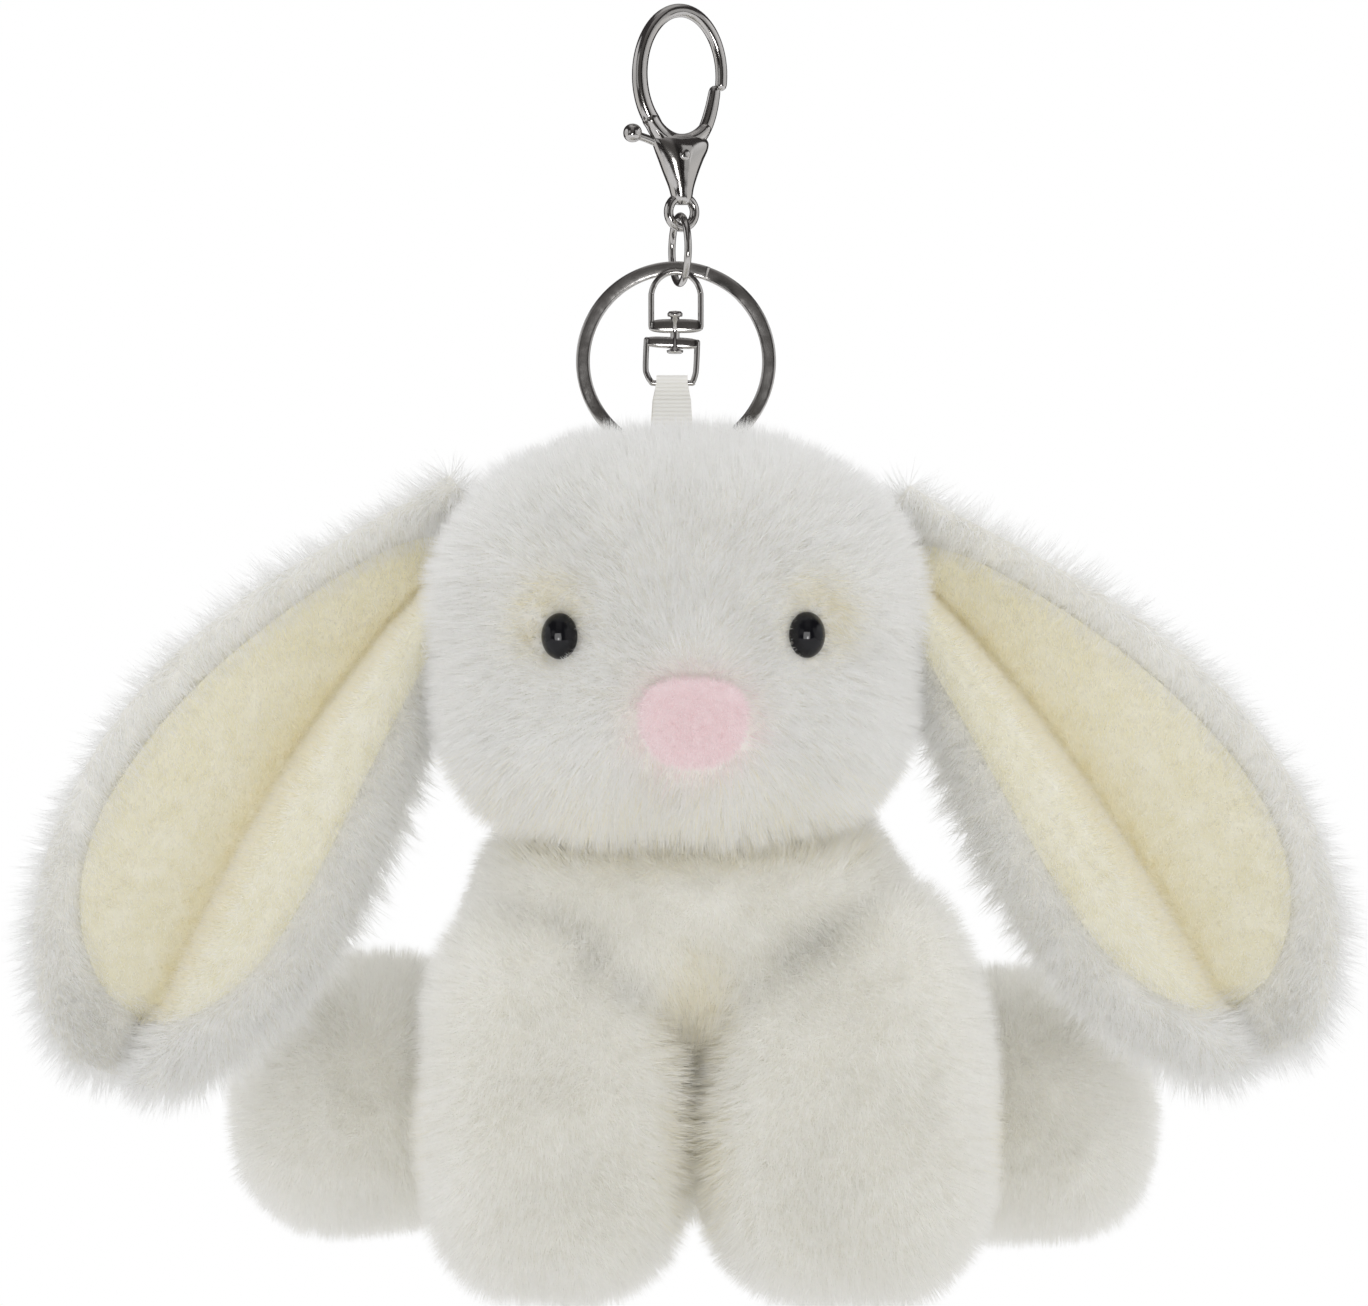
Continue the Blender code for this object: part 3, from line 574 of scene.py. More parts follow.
# Creases where the pile is given painted warm shade: centre and reach.
CREASE_SHADE_SPOTS = (
    ((2.8, -22.0, -150.0), (7.0, 24.0, 13.0)),
    ((2.8, -16.0, -170.0), (6.0, 26.0, 20.0)),
    ((-36.0, 2.0, -165.0), (3.6, 20.0, 14.0)),
    ((45.5, 2.0, -165.0), (3.6, 20.0, 14.0)),
    ((1.0, -18.0, -123.0), (36.0, 24.0, 5.0)),
)


def cream_tint(pos, rng):
    """Cream, with painted warm shade in the creases between the parts."""
    chance = np.zeros(len(pos))
    for spot, reach in CREASE_SHADE_SPOTS:
        gap = np.sqrt((((pos - np.array(spot)) / np.array(reach)) ** 2).sum(1))
        chance = np.maximum(chance, np.clip(1.2 * (1.15 - gap), 0, 0.8))
    base = rng.integers(0, len(CREAM_PILE), len(pos))
    return np.where(rng.random(len(pos)) < chance, len(CREAM_PILE) + rng.integers(0, 2, len(pos)), base)


PILE_LENGTH = 5.0
PILE_LEAN = 0.28
fur("head_fur", head_skin, "head", PILE_LENGTH, HEAD_TINTS, 21, head_comb, PILE_LEAN, head_keep, head_trim,
    head_tint)
for k, (name, made, body) in enumerate(FURRED):
    fur(f"{name}_fur", made, body, PILE_LENGTH, CREAM_TINTS, 61 + 5 * k, down, PILE_LEAN, tint_of=cream_tint)


# ---------------------------------------------------------------- ears
def bezier(points, t):
    """Points of a cubic curve."""
    a, b, c, d = (np.array(p, float) for p in points)
    t = np.asarray(t)[..., None]
    s = 1 - t
    return a * s ** 3 + b * (3 * s * s * t) + c * (3 * s * t * t) + d * t ** 3


def ear_width(t):
    """Width along an ear as a share of its greatest: narrow at the root, round at the tip."""
    grow = np.clip(t / 0.70, 0, 1)
    swell = 0.40 + 0.60 * grow * grow * (3 - 2 * grow)
    tip = np.clip((t - 0.70) / 0.30, 0, 1)
    return swell * np.sqrt(np.clip(1.0 - tip ** 2.3, 0, 1))


EAR_BACK = -7.5         # y of the ears' middle plane
EAR_HALF_WIDTH = 23.0
EAR_PILE = 5.4
LINING_START = 0.09     # where the lining starts along the ear, and its run
LINING_RUN = 0.83
# Place across an ear and depth there.
FOLD = np.array([
    (-1.0, -2.0), (-0.85, -1.4), (-0.70, 0.2), (-0.45, 3.4), (-0.15, 5.8), (0.06, 7.2), (0.13, 6.6),
    (0.18, 2.0), (0.23, -4.6), (0.32, -7.4), (0.48, -7.6), (0.66, -5.8), (0.84, -2.8), (1.0, 0.4),
])


def fold_depth(u):
    """Depth across an ear, outer edge to inner edge: a cup, then a step up to the half folded forward."""
    fine = np.linspace(-1, 1, 201)
    rough = np.interp(fine, FOLD[:, 0], FOLD[:, 1])
    window = np.hanning(7)
    padded_row = np.pad(rough, 3, mode="edge")
    smooth = np.convolve(padded_row, window / window.sum(), mode="valid")
    return np.interp(u, fine, smooth)


def ear_place(line, sign, t, u, v):
    """Point of an ear: t along it, u across it (outer edge -1, inner edge +1), v deeper or nearer."""
    here = bezier(line, t)
    ahead = unit(bezier(line, np.minimum(1, t + 0.01)) - bezier(line, np.maximum(0, t - 0.01)))
    side = np.stack([-ahead[..., 2] * sign, np.zeros_like(t), ahead[..., 0] * sign], -1)
    open_up = np.sin(np.pi * np.clip(t * 0.93 + 0.05, 0, 1)) ** 0.7
    depth = fold_depth(u) * open_up + v
    wide = EAR_HALF_WIDTH * ear_width(t)
    point = here + side * (u * wide)[..., None]
    point[..., 1] += EAR_BACK + depth
    return point


# Middle line of each ear from root to tip, and the side that it hangs on.
EARS = {
    "left": ([(-27.0, 0, -75.0), (-45.5, 0, -89.5), (-69.5, 0, -115.0), (-83.5, 0, -160.5)], 1),
    "right": ([(28.0, 0, -76.5), (46.2, 0, -90.8), (71.2, 0, -116.0), (88.0, 0, -157.5)], -1),
}


def lined_edge(t):
    """Width of the lining along the ear: full, with round ends."""
    return np.clip(1 - np.abs((t - LINING_START) / LINING_RUN * 2 - 1) ** 6, 0, 1) ** 0.5


def lined_from(t):
    """Outer edge of the lining across the ear."""
    return -(0.58 + 0.20 * np.clip(t * 1.4, 0, 1)) * lined_edge(t)


def lined_to(t):
    """Inner edge of the lining, on the half folded forward."""
    return 0.66 * lined_edge(t)


def ear_skin(side, line, sign):
    """Padded back and rim of an ear."""
    count_t, count_a = 64, 60
    t = 0.02 + 0.965 * (0.5 - 0.5 * np.cos(np.pi * np.arange(count_t) / (count_t - 1)))
    a = 2 * np.pi * np.arange(count_a) / count_a
    tt, aa = np.meshgrid(t, a, indexing="ij")
    fat = 2.6 * ear_width(tt) ** 0.5
    v = np.where(np.sin(aa) > 0, 1.9 * fat, 0.25 * fat) * np.sin(aa)
    outer = grid_mesh(f"ear_{side}_skin", ear_place(line, sign, tt, np.cos(aa), v) * MM)
    outer.data.materials.append(WHITE_BACK)
    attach(outer, f"ear_{side}")
    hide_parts(f"ear_{side}_outer")
    return outer


def ear_lining(side, line, sign):
    """Thin cloth laid in the ear, following its fold."""
    t = LINING_START + LINING_RUN * np.linspace(0, 1, 64)
    tt, uu = np.meshgrid(t, np.linspace(-1, 1, 80), indexing="ij")
    uu = np.where(uu < 0, -uu * lined_from(tt), uu * lined_to(tt))
    front = ear_place(line, sign, tt, uu, -1.2)
    rear = front + np.array([0, 0.7, 0])
    lining = grid_mesh(f"ear_{side}_lining_cloth", np.concatenate([front, rear[:, ::-1]], 1) * MM)
    lining.data.materials.append(LINING_BACK)
    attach(lining, f"ear_{side}")
    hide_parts(f"ear_{side}_lining")
    return lining


LINING_TINTS = LINING_PILE + SHADE_WARM_PILE


def ear_pieces(side, line, sign, seed):
    """Skin, lining and pile of one ear."""
    outer = ear_skin(side, line, sign)
    lining = ear_lining(side, line, sign)
    along = unit(np.array(line[3], float) - np.array(line[0], float))

    def comb(pos, nor):
        return np.tile(along, (len(pos), 1))

    def locate(pos):
        """Nearest place along the ear and across it, for each point."""
        fine = np.linspace(0, 1, 121)
        track = bezier(line, fine)[:, [0, 2]]
        ahead = unit(np.gradient(track, axis=0))
        d = pos[:, None, [0, 2]] - track[None]
        near = (d ** 2).sum(-1).argmin(1)
        away = d[np.arange(len(pos)), near]
        cross = -(away[:, 0] * ahead[near, 1] - away[:, 1] * ahead[near, 0]) * sign
        return fine[near], cross / (EAR_HALF_WIDTH * ear_width(fine[near]) + 1e-6)

    def rim_comb(pos, nor):
        """Along the ear, and beside the lining also inwards, over its edge."""
        where, across = locate(pos)
        ahead = unit(bezier(line, np.minimum(1, where + 0.01)) - bezier(line, np.maximum(0, where - 0.01)))
        side_way = np.stack([-ahead[:, 2] * sign, np.zeros(len(pos)), ahead[:, 0] * sign], -1)
        low_gap, high_gap = lined_from(where) - across, across - lined_to(where)
        near = np.clip(1 - np.maximum(low_gap, high_gap) / 0.22, 0, 1) * (nor[:, 1] < 0.2)
        inwards = np.where(low_gap > high_gap, 1.0, -1.0) * near
        return comb(pos, nor) + side_way * (2.6 * inwards)[:, None]

    def keep_outer(pos, nor):
        """No long pile under the lining."""
        where, across = locate(pos)
        inside = (across > lined_from(where) + 0.05) & (across < lined_to(where) - 0.05)
        lined = (nor[:, 1] < 0) & inside & (where > 0.11) & (where < 0.90)
        return ~lined

    def keep_front(pos, nor):
        return nor[:, 1] < 0.1

    def lining_tint(pos, rng):
        """Painted warm shade along the crease beside the folded half, pale cream elsewhere."""
        where, across = locate(pos)
        near = np.exp(-((across - 0.10) / 0.17) ** 2) * np.clip(1.3 - 1.1 * np.abs(where - 0.42), 0, 1)
        base = rng.integers(0, len(LINING_PILE), len(pos))
        warm = rng.random(len(pos)) < near
        return np.where(warm, len(LINING_PILE) + rng.integers(0, 2, len(pos)), base)

    def trim_rim(pos):
        """Short pile beside the lining, so that the rim rolls over softly."""
        where, across = locate(pos)
        gap = np.maximum(lined_from(where) - across, across - lined_to(where))
        inner = pos[:, 1] < EAR_BACK + 3.0
        return np.where(inner, np.clip(0.50 + 1.7 * gap, 0.50, 1.0), 1.0)

    body = f"ear_{side}"
    fur(f"ear_{side}_fur", outer, body, EAR_PILE, WHITE_PILE, seed, rim_comb, 0.34, keep_outer, trim_rim)
    blades(f"ear_{side}_pile", lining, body, 1500, 1.5, LINING_TINTS, seed + 7, comb, lean=0.4, wild=0.3,
           width=0.14, clump=1.2, pull=0.3, keep=keep_front, tint_of=lining_tint)


for k, (side, (line, sign)) in enumerate(EARS.items()):
    ear_pieces(side, line, sign, 101 + 20 * k)

# ---------------------------------------------------------------- eyes and nose
def eye_material():
    """Black glossy plastic, very faintly uneven."""
    made, tree, shader = new_material("black_eye")
    shader.inputs["Base Color"].default_value = (0.004, 0.004, 0.005, 1)
    shader.inputs["Specular IOR Level"].default_value = 0.30
    cloud = noise_node(tree, 500.0)
    tree.links.new(span_node(tree, cloud.outputs["Fac"], 0.05, 0.09), shader.inputs["Roughness"])
    return made


# Radius and height of the dome, from its top to under its rim.
EYE_PROFILE = [
    (0.02, 3.0), (0.9, 2.9), (1.7, 2.6), (2.5, 2.05), (3.1, 1.35), (3.45, 0.6), (3.5, 0.0), (3.3, -0.6),
    (0.02, -0.8),
]
EYE_YAW = 0.42
EYE_SINK = 0.2


def eye_dome(side, x, z, look):
    """Oval dome that follows the head's curve outwards."""
    turn = even_turn(RING)
    rows = np.array([
        np.stack([0.80 * radius * np.cos(turn), np.full(RING, -height), 0.98 * radius * np.sin(turn)], -1)
        for radius, height in EYE_PROFILE
    ])
    yaw = Matrix.Rotation(EYE_YAW * (1 if x > 0 else -1), 3, "Z")
    eye = grid_mesh(f"eye_{side}_dome", placed(rows, yaw, (x, head_front(x, z) + EYE_SINK, z)) * MM)
    smooth = eye.modifiers.new("smooth", "SUBSURF")
    smooth.levels = smooth.render_levels = 1
    eye.data.materials.append(look)
    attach(eye, "head")
    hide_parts(f"eye_{side}")
    return eye


EYE_LOOK = eye_material()
EYE_DOMES = [eye_dome(side, x, z, EYE_LOOK) for side, (x, z) in zip(("left", "right"), EYES)]


def nose_material():
    """Pink velboa under the nap."""
    made, tree, shader = new_material("pink_velboa")
    cloud = noise_node(tree, 700.0, 4.0)
    colour = ramp_node(tree, cloud.outputs["Fac"], [(0.3, (0.90, 0.72, 0.735)), (0.7, (0.94, 0.78, 0.795))])
    tree.links.new(colour.outputs["Color"], shader.inputs["Base Color"])
    shader.inputs["Roughness"].default_value = 0.85
    shader.inputs["Sheen Weight"].default_value = 0.4
    grain = noise_node(tree, 4200.0, 2.0)
    bump_node(tree, shader, grain.outputs["Fac"], 0.6, 0.0003)
    return made


NOSE_HALF = (7.6, 2.9, 6.4)
NOSE_PITCH = 12.0       # degrees
NOSE_PROUD = 2.0        # how far its middle stands before the head skin
NOSE_PILE = pile("nose_pile", [(0.938, 0.818, 0.828), (0.948, 0.852, 0.860), (0.953, 0.876, 0.882)])


def nose_shape(p):
    """A little wider above."""
    p = p.copy()
    p[..., 0] = p[..., 0] * (1.0 + 0.12 * p[..., 2])
    return p


def nose():
    rows = blob_points((0, 0, 0), NOSE_HALF, 2.5, nose_shape, 64, 40)
    pitch = Matrix.Rotation(math.radians(NOSE_PITCH), 3, "X")
    pad = grid_mesh(
        "nose_pad", placed(rows, pitch, (NOSE[0], head_front(*NOSE) - NOSE_PROUD, NOSE[1])) * MM, caps=False
    )
    pad.data.materials.append(nose_material())
    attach(pad, "head")
    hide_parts("nose_patch")
    blades("nose_nap", pad, "head", 2600, 0.9, NOSE_PILE, 301, down, lean=0.3, wild=0.45, clump=0.9, pull=0.2,
           width=0.12, keep=lambda pos, nor: nor[:, 1] < 0.25)


nose()

# ---------------------------------------------------------------- metal
NICKEL = metal("nickel")
PLATE = metal("plated_strip", (0.60, 0.585, 0.57), 0.16)


def finish_node(name, look):
    """Gives a CAD node that stays in view its material."""
    NODES[name].data.materials.clear()
    NODES[name].data.materials.append(look)


def fitting(obj, body, replaced=(), look=NICKEL):
    """Piece of the hardware, with its finish and body."""
    obj.data.materials.append(look)
    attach(obj, body)
    if replaced:
        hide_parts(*replaced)
    return obj


def smooth_path(points, count):
    """Even points on a Catmull-Rom curve through the given ones."""
    points = np.array(points, float)
    n = len(points)
    out = []
    for s in np.linspace(0, n - 1, count):
        i = min(int(s), n - 2)
        f = s - i
        a, b, c, d = (points[min(max(i + k, 0), n - 1)] for k in (-1, 0, 1, 2))
        out.append(
            0.5 * (2 * b + (c - a) * f + (2 * a - 5 * b + 4 * c - d) * f * f
                   + (3 * b - a - 3 * c + d) * f ** 3)
        )
    return np.array(out)


def with_radius(path, radius):
    """Path with a column that holds the bar's radius at each point."""
    return np.column_stack([path, radius])


def wire(name, path, radius=None, normal=(0, 1, 0), closed=False, sides=20, squash=1.0):
    """Round bar along a path; without a radius, the last column of the path holds it."""
    path = np.asarray(path, float)
    size = path[:, 3] if radius is None else np.full(len(path), float(radius))
    path = path[:, :3]
    up = unit(np.array(normal, float))
    if closed:
        ahead = np.roll(path, -1, 0) - np.roll(path, 1, 0)
    else:
        ahead = np.gradient(path, axis=0)
    side = unit(np.cross(unit(ahead), up))
    turn = even_turn(sides)
    ring = side[:, None] * np.cos(turn)[None, :, None] + up * (np.sin(turn) * squash)[None, :, None]
    rows = path[:, None] + ring * size[:, None, None]
    if closed:
        rows = np.concatenate([rows, rows[:1]])
        return grid_mesh(name, rows * MM, caps=False)

    def rounded_end(k, way, angles):
        return [path[k] + way * unit(ahead[k]) * size[k] * math.sin(a) + ring[k] * size[k] * math.cos(a)
                for a in angles]

    first = rounded_end(0, -1, (1.35, 1.0, 0.5))
    last = rounded_end(-1, 1, (0.5, 1.0, 1.35))
    rows = np.concatenate([np.array(first), rows, np.array(last)])
    return grid_mesh(name, rows * MM)


def rounded_bar(name, centre, half, tilt=0.0):
    """Crowned bar with soft corners."""
    rows = blob_points((0, 0, 0), half, 3.4, None, 48, 32)
    return grid_mesh(name, placed(rows, Matrix.Rotation(tilt, 3, "Y"), centre) * MM, caps=False)


def node_middle(name):
    """Middle of a CAD node's box, in millimetres."""
    low, high = (np.array(corner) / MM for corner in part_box(name))
    return (low + high) / 2


# The clasp is drawn in the XZ plane and turned about the hanging line.
CLASP_YAW = 22.0        # degrees
HOOK_X = 0.75
HOOK_HALF = (6.6, 9.7)


def turned(obj):
    obj.data.transform(Matrix.Rotation(math.radians(CLASP_YAW), 4, "Z"))
    return obj


def hook_arc(middle_z, start, stop, count):
    """Part of the hook's oval, by degrees from +X."""
    angles = np.radians(np.linspace(start, stop, count))
    return np.stack(
        [HOOK_X + HOOK_HALF[0] * np.cos(angles), 0 * angles, middle_z + HOOK_HALF[1] * np.sin(angles)], -1
    )


def clasp():
    """Hook, cradle, teardrop shoulder, rivet and eye of the lobster clasp."""
    hook = np.concatenate([[[-1.5, 0, -19.0], [-2.9, 0, -17.2]], hook_arc(-8.55, 224, -8, 90)])
    hook = smooth_path(hook, 140)
    size = 1.30 - 0.42 * np.linspace(0, 1, len(hook)) ** 0.8
    fitting(turned(wire("clasp_hook_bar", with_radius(hook, size), sides=28)), "clasp", ["clasp_body"])

    # Height, middle, half width and half depth of the shoulder.
    shoulder = smooth_path([
        (-17.4, -0.2, 2.4, 0.7), (-17.7, 0.2, 3.9, 1.3), (-18.4, 0.6, 4.5, 1.9),
        (-19.6, 0.8, 4.3, 2.25), (-21.4, 0.75, 3.5, 2.3), (-23.4, 0.75, 2.7, 2.05),
        (-25.4, 0.85, 1.95, 1.75), (-27.2, 0.95, 1.5, 1.45), (-28.0, 1.0, 0.9, 0.9),
    ], 60)
    turn = even_turn(RING)
    rows = np.array([
        np.stack([x + wide * np.cos(turn), deep * np.sin(turn), np.full(RING, z)], -1)
        for z, x, wide, deep in shoulder
    ])
    fitting(turned(grid_mesh("clasp_shoulder_body", rows * MM)), "clasp")

    cradle = with_radius(hook_arc(-8.75, 222, 306, 50), 1.25 - 0.25 * np.linspace(0, 1, 50))
    fitting(turned(wire("clasp_cradle", cradle, squash=1.15)), "clasp")

    profile = ((0.05, 2.55), (0.5, 2.5), (0.8, 2.35), (0.95, 2.05), (1.0, 1.6))
    rivet = np.array([
        np.stack([0.6 + radius * np.cos(turn), np.full(RING, -height), -20.6 + radius * np.sin(turn)], -1)
        for radius, height in profile
    ])
    fitting(turned(grid_mesh("clasp_rivet_head", rivet * MM)), "clasp")

    angles = even_turn(64)
    loop = np.stack([0.9 + 2.1 * np.cos(angles), 0 * angles, -29.1 + 2.3 * np.sin(angles)], -1)
    fitting(turned(wire("clasp_eye_loop", loop, 0.7, closed=True, squash=1.25)), "clasp")
    for name in ("clasp_pivot_pin", "clasp_spring"):
        finish_node(name, NICKEL)


def lever():
    """Gate of the clasp, thumb arm and knob."""
    gate = smooth_path([
        (2.6, 0, -19.2), (3.9, 0, -17.9), (5.0, 0, -15.8), (5.75, 0, -13.4), (6.25, 0, -10.9),
    ], 50)
    size = 0.70 + 0.35 * np.sin(np.pi * np.linspace(0.12, 0.80, 50))
    fitting(turned(wire("lever_gate", with_radius(gate, size), squash=0.75)), "lever", ["clasp_lever"])
    arm = smooth_path([(0.5, 0, -20.4), (-2.2, 0, -19.2), (-4.4, 0, -18.3), (-6.4, 0, -17.7)], 24)
    fitting(turned(wire("lever_arm", arm, 0.62, squash=0.9)), "lever")
    knob = blob_points((-7.0, 0, -17.4), (1.4, 1.4, 1.4), 2.1, None, 40, 28)
    fitting(turned(grid_mesh("lever_knob", knob * MM, caps=False)), "lever")


def jump_ring():
    """Round wire ring, a little turned."""
    radius, yaw = 5.05, math.radians(14)
    angles = even_turn(64)
    middle = node_middle("jump_ring")
    ring = np.stack([
        middle[0] - radius * np.cos(angles) * math.sin(yaw),
        middle[1] + radius * np.cos(angles) * math.cos(yaw),
        middle[2] + radius * np.sin(angles),
    ], -1)
    obj = wire("jump_ring_wire", ring, 0.55, (math.cos(yaw), math.sin(yaw), 0), closed=True)
    fitting(obj, "jump", ["jump_ring"])


def split_ring():
    """Crowned strip wound twice round, stepping back one thickness between the turns."""
    middle_at = node_middle("key_ring")
    run = np.linspace(0, 694, 300)
    step = np.clip((run - 334) / 26, 0, 1)
    depth = step * step * (3 - 2 * step)
    out_way = np.stack([np.cos(np.radians(70 + run)), 0 * run, np.sin(np.radians(70 + run))], -1)
    section = even_turn(28)
    across = np.sign(np.cos(section)) * np.abs(np.cos(section)) ** 0.45 * 1.03
    thick = np.sign(np.sin(section)) * np.abs(np.sin(section)) ** 0.75 * 0.36
    middle = np.array([middle_at[0], 0.51, middle_at[2]]) + out_way * 13.97
    middle[:, 1] += depth * 0.84
    rows = middle[:, None] + out_way[:, None] * across[None, :, None]
    rows = rows + np.array([0.0, 1.0, 0.0]) * thick[None, :, None]
    fitting(grid_mesh("split_ring_strip", rows * MM), "split_ring", ["key_ring"], PLATE)


SWIVEL_Y = -1.0
SWIVEL_WIRE = 0.43      # radius


def swivel():
    """Two wire loops with crowned bars, held together by a rivet."""
    reach = 3.7
    top = float(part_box("swivel_upper_loop")[1][2]) / MM - SWIVEL_WIRE
    arc = [
        (reach * math.cos(a), SWIVEL_Y, top - reach + reach * math.sin(a))
        for a in np.linspace(0, math.pi, 24)
    ]
    loop = smooth_path([(reach, SWIVEL_Y, -46.3)] + arc + [(-reach, SWIVEL_Y, -46.3)], 90)
    fitting(wire("swivel_top_wire", loop, SWIVEL_WIRE), "swivel_top", ["swivel_upper_loop"])
    fitting(rounded_bar("swivel_top_bar", (0, SWIVEL_Y, -46.25), (4.1, 0.62, 1.05)), "swivel_top")

    corners = (
        (-4.4, -48.3), (-4.55, -52.4), (-4.3, -53.6), (-3.7, -54.6), (-3.0, -54.8),
        (2.0, -54.8), (2.5, -54.6), (2.9, -53.5), (3.05, -52.2), (3.2, -48.7),
    )
    loop = smooth_path([(x, SWIVEL_Y, z) for x, z in corners], 90)
    fitting(wire("swivel_low_wire", loop, SWIVEL_WIRE), "swivel_bottom", ["swivel_lower_loop"])
    fitting(rounded_bar("swivel_low_bar", (-0.6, SWIVEL_Y, -48.75), (4.2, 0.62, 0.86), 0.05), "swivel_bottom")

    profile = (
        (0.04, -50.4), (0.9, -50.4), (1.2, -50.2), (1.25, -49.9), (0.7, -49.7), (0.65, -44.9), (1.1, -44.8),
        (1.15, -44.4), (0.9, -44.05), (0.04, -43.95),
    )
    turn = even_turn(RING)
    rows = np.array([
        np.stack([-0.15 + radius * np.cos(turn), SWIVEL_Y + radius * np.sin(turn), np.full(RING, z)], -1)
        for radius, z in profile
    ])
    fitting(grid_mesh("swivel_pin", rows * MM), "swivel_bottom", ["swivel_rivet"])


clasp()
lever()
jump_ring()
split_ring()
swivel()


# ---------------------------------------------------------------- ribbon and washers
def grosgrain():
    """Cream ribbon with ribs across."""
    made, tree, shader = new_material("grosgrain")
    where = tree.nodes.new("ShaderNodeTexCoord")
    wave = tree.nodes.new("ShaderNodeTexWave")
    wave.bands_direction = "Z"
    wave.inputs["Scale"].default_value = 520.0
    wave.inputs["Distortion"].default_value = 0.4
    tree.links.new(where.outputs["Object"], wave.inputs["Vector"])
    colour = ramp_node(tree, wave.outputs["Fac"], [(0.0, (0.90, 0.885, 0.83)), (1.0, (0.95, 0.94, 0.90))])
    tree.links.new(colour.outputs["Color"], shader.inputs["Base Color"])
    shader.inputs["Roughness"].default_value = 0.8
    bump_node(tree, shader, wave.outputs["Fac"], 0.35, 0.0002)
    return made


finish_node("ribbon_loop", grosgrain())
WASHER = plain("washer_plastic", (0.85, 0.85, 0.83), 0.5)
for side in ("left", "right"):
    finish_node(f"eye_washer_{side}", WASHER)

# ---------------------------------------------------------------- stage
CENTRE = (0.0012, 0.0, -0.09525)        # what the camera looks at, metres like all of the stage
FLOOR_Z = -0.225
scene = bpy.context.scene


def floor():
    look, _, shader = new_material("floor")
    shader.inputs["Base Color"].default_value = (0.94, 0.94, 0.94, 1)
    shader.inputs["Roughness"].default_value = 0.9
    corners = [(x, y, FLOOR_Z) for x, y in ((-0.4, -0.4), (0.4, -0.4), (0.4, 0.38), (-0.4, 0.38))]
    made = mesh_object("floor", corners, [(0, 1, 2, 3)])
    made.data.materials.append(look)


def signed_ramp(tree, source, stops):
    """Colours over one axis of a direction, from -1 to 1."""
    span = tree.nodes.new("ShaderNodeMapRange")
    span.inputs["From Min"].default_value = -1.0
    span.inputs["From Max"].default_value = 1.0
    tree.links.new(source, span.inputs["Value"])
    return ramp_node(tree, span.outputs["Result"], stops).outputs["Color"]


def multiply_node(tree, first, second):
    mix = tree.nodes.new("ShaderNodeMix")
    mix.data_type = "RGBA"
    mix.blend_type = "MULTIPLY"
    mix.inputs[0].default_value = 1.0
    tree.links.new(first, mix.inputs[6])
    tree.links.new(second, mix.inputs[7])
    return mix


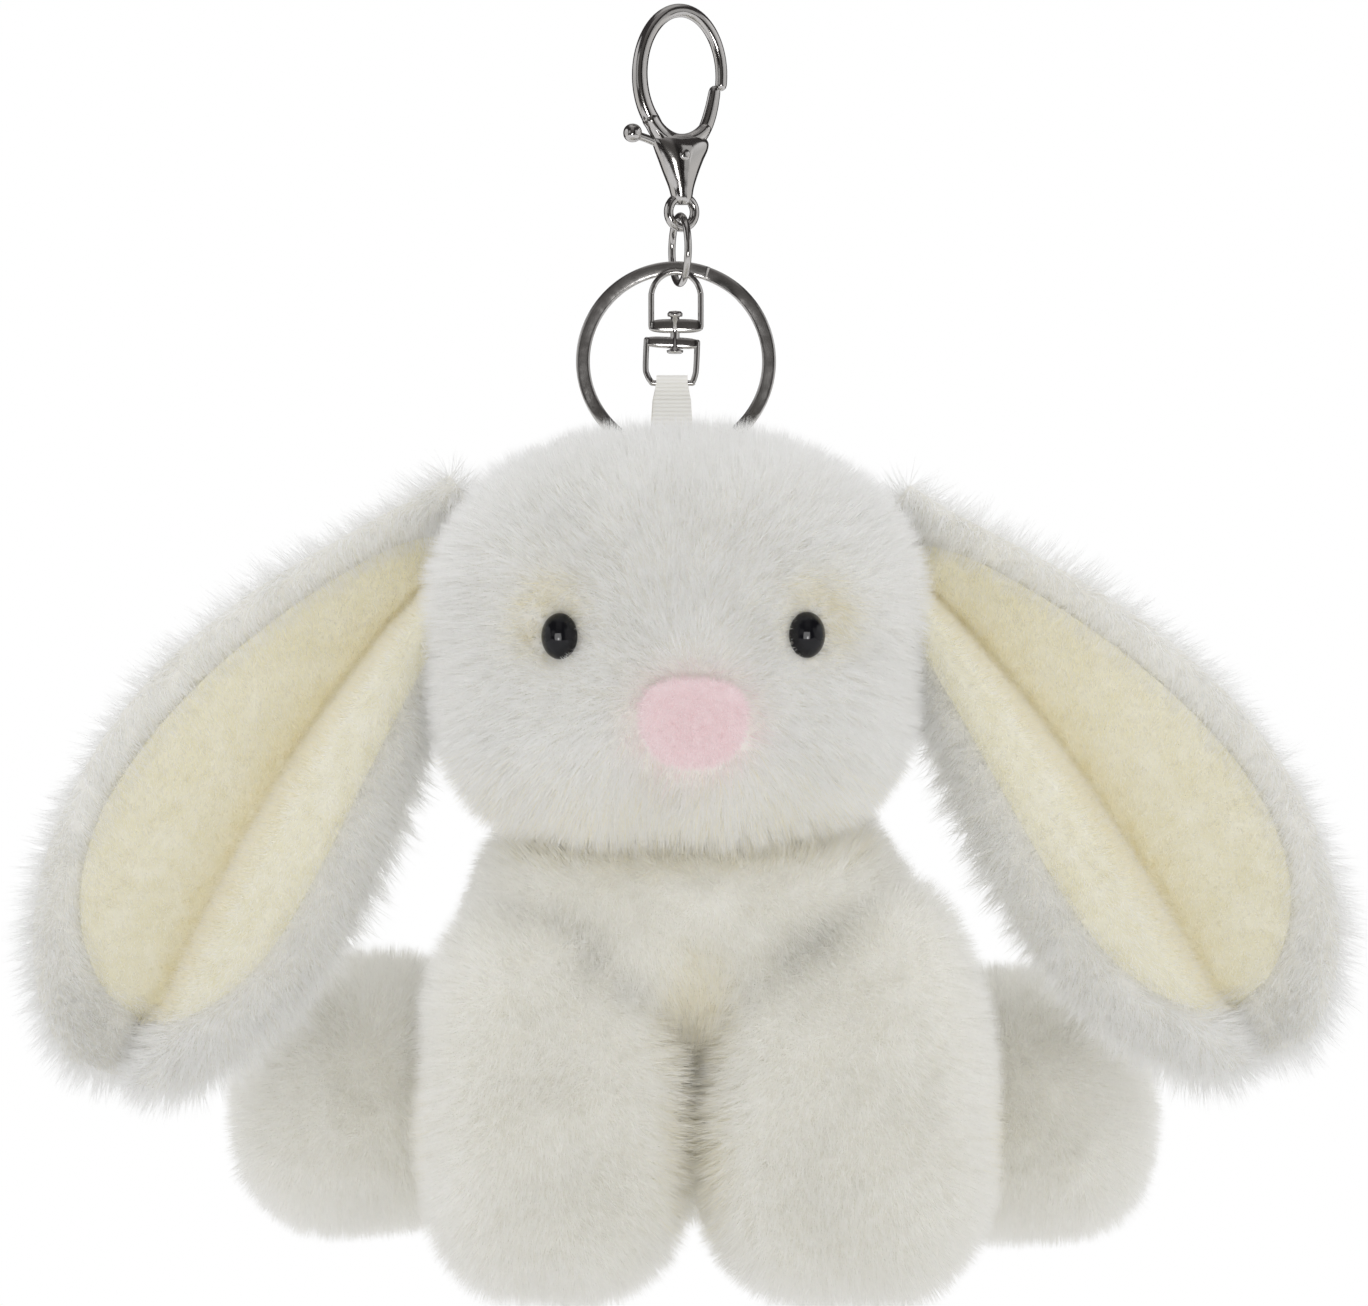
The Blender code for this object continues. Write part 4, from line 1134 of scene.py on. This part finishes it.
def studio():
    """White behind the object; pale tent round it, dim in front, with dark flags that only gloss shows."""
    world = bpy.data.worlds.new("studio")
    scene.world = world
    world.use_nodes = True
    tree = world.node_tree
    tree.nodes.clear()
    path = tree.nodes.new("ShaderNodeLightPath")
    where = tree.nodes.new("ShaderNodeTexCoord")
    split = tree.nodes.new("ShaderNodeSeparateXYZ")
    tree.links.new(where.outputs["Generated"], split.inputs["Vector"])
    shade = signed_ramp(tree, split.outputs["Z"], [
        (0.0, (0.80, 0.79, 0.77)), (0.36, (0.74, 0.73, 0.72)), (0.50, (0.62, 0.62, 0.62)),
        (0.66, (0.80, 0.80, 0.81)), (1.0, (0.98, 0.98, 1.0)),
    ])
    dim = signed_ramp(tree, split.outputs["Y"], [
        (0.0, (0.40, 0.39, 0.38)), (0.045, (0.42, 0.41, 0.40)), (0.14, (0.97, 0.97, 0.97)),
        (1.0, (1.0, 1.0, 1.0)),
    ])
    tent = multiply_node(tree, shade, dim)
    beside = tree.nodes.new("ShaderNodeMath")
    beside.operation = "ABSOLUTE"
    tree.links.new(split.outputs["X"], beside.inputs[0])
    flags = ramp_node(tree, beside.outputs["Value"], [
        (0.0, (0.30, 0.29, 0.285)), (0.26, (0.30, 0.29, 0.285)), (0.32, (0.05, 0.045, 0.045)),
        (0.82, (0.05, 0.045, 0.045)), (0.86, (1.0, 1.0, 1.0)), (1.0, (1.05, 1.05, 1.05)),
    ])
    glossy = multiply_node(tree, tent.outputs[2], flags.outputs["Color"])
    tree.links.new(path.outputs["Is Glossy Ray"], glossy.inputs[0])
    room = tree.nodes.new("ShaderNodeBackground")
    room.inputs["Strength"].default_value = 1.07
    tree.links.new(glossy.outputs[2], room.inputs["Color"])
    seen = tree.nodes.new("ShaderNodeBackground")
    seen.inputs["Color"].default_value = (1, 1, 1, 1)
    seen.inputs["Strength"].default_value = 1.0
    choice = tree.nodes.new("ShaderNodeMixShader")
    tree.links.new(path.outputs["Is Camera Ray"], choice.inputs["Fac"])
    tree.links.new(room.outputs["Background"], choice.inputs[1])
    tree.links.new(seen.outputs["Background"], choice.inputs[2])
    out = tree.nodes.new("ShaderNodeOutputWorld")
    tree.links.new(choice.outputs["Shader"], out.inputs["Surface"])


# name, place, aim, size, watts
SOFTBOXES = (
    ("key", (-0.02, -1.5, -0.44), CENTRE, (0.26, 0.26), 3.2),
    ("left", (-0.7, -0.9, 0.15), CENTRE, (0.5, 0.5), 0.35),
    ("right", (0.9, -0.8, 0.1), CENTRE, (0.5, 0.9), 0.7),
    ("low", (0.05, -0.75, -0.62), (0.0012, 0.0, -0.15), (0.9, 0.3), 3.4),
    ("top", (0.0, 0.1, 0.9), CENTRE, (1.0, 0.8), 0.6),
)


def softbox(name, place, aim, size, power):
    light = bpy.data.lights.new(name, "AREA")
    light.shape = "RECTANGLE"
    light.size, light.size_y = size
    light.energy = power
    obj = bpy.data.objects.new(name, light)
    scene.collection.objects.link(obj)
    obj.location = place
    obj.rotation_euler = (Vector(aim) - Vector(place)).to_track_quat("-Z", "Y").to_euler()
    return obj


def eye_catch():
    """Window-like light that only the eyes take, for their reflection."""
    light = softbox("eye_catch", (-0.04, -0.5, -0.20), CENTRE, (0.36, 0.46), 2.6)
    light.visible_camera = False
    eyes_only = bpy.data.collections.new("eyes_only")
    for dome in EYE_DOMES:
        eyes_only.objects.link(dome)
    light.light_linking.receiver_collection = eyes_only


SENSOR = 36.0           # mm
DISTANCE = 1.25
FRAME_WIDTH = 0.2052    # width of the view at the object


def front_camera():
    camera = bpy.data.cameras.new("camera")
    camera.sensor_width = SENSOR
    camera.lens = SENSOR * DISTANCE / FRAME_WIDTH
    camera.clip_start = 0.05
    view = bpy.data.objects.new("camera", camera)
    scene.collection.objects.link(view)
    view.location = (CENTRE[0], -DISTANCE, CENTRE[2])
    view.rotation_euler = (math.pi / 2, 0, 0)
    scene.camera = view


floor()
studio()
for box in SOFTBOXES:
    softbox(*box)
eye_catch()
front_camera()
scene.view_settings.view_transform = "Standard"
scene.cycles.max_bounces = 24           # white pile needs many bounces to look white
scene.cycles.diffuse_bounces = 20
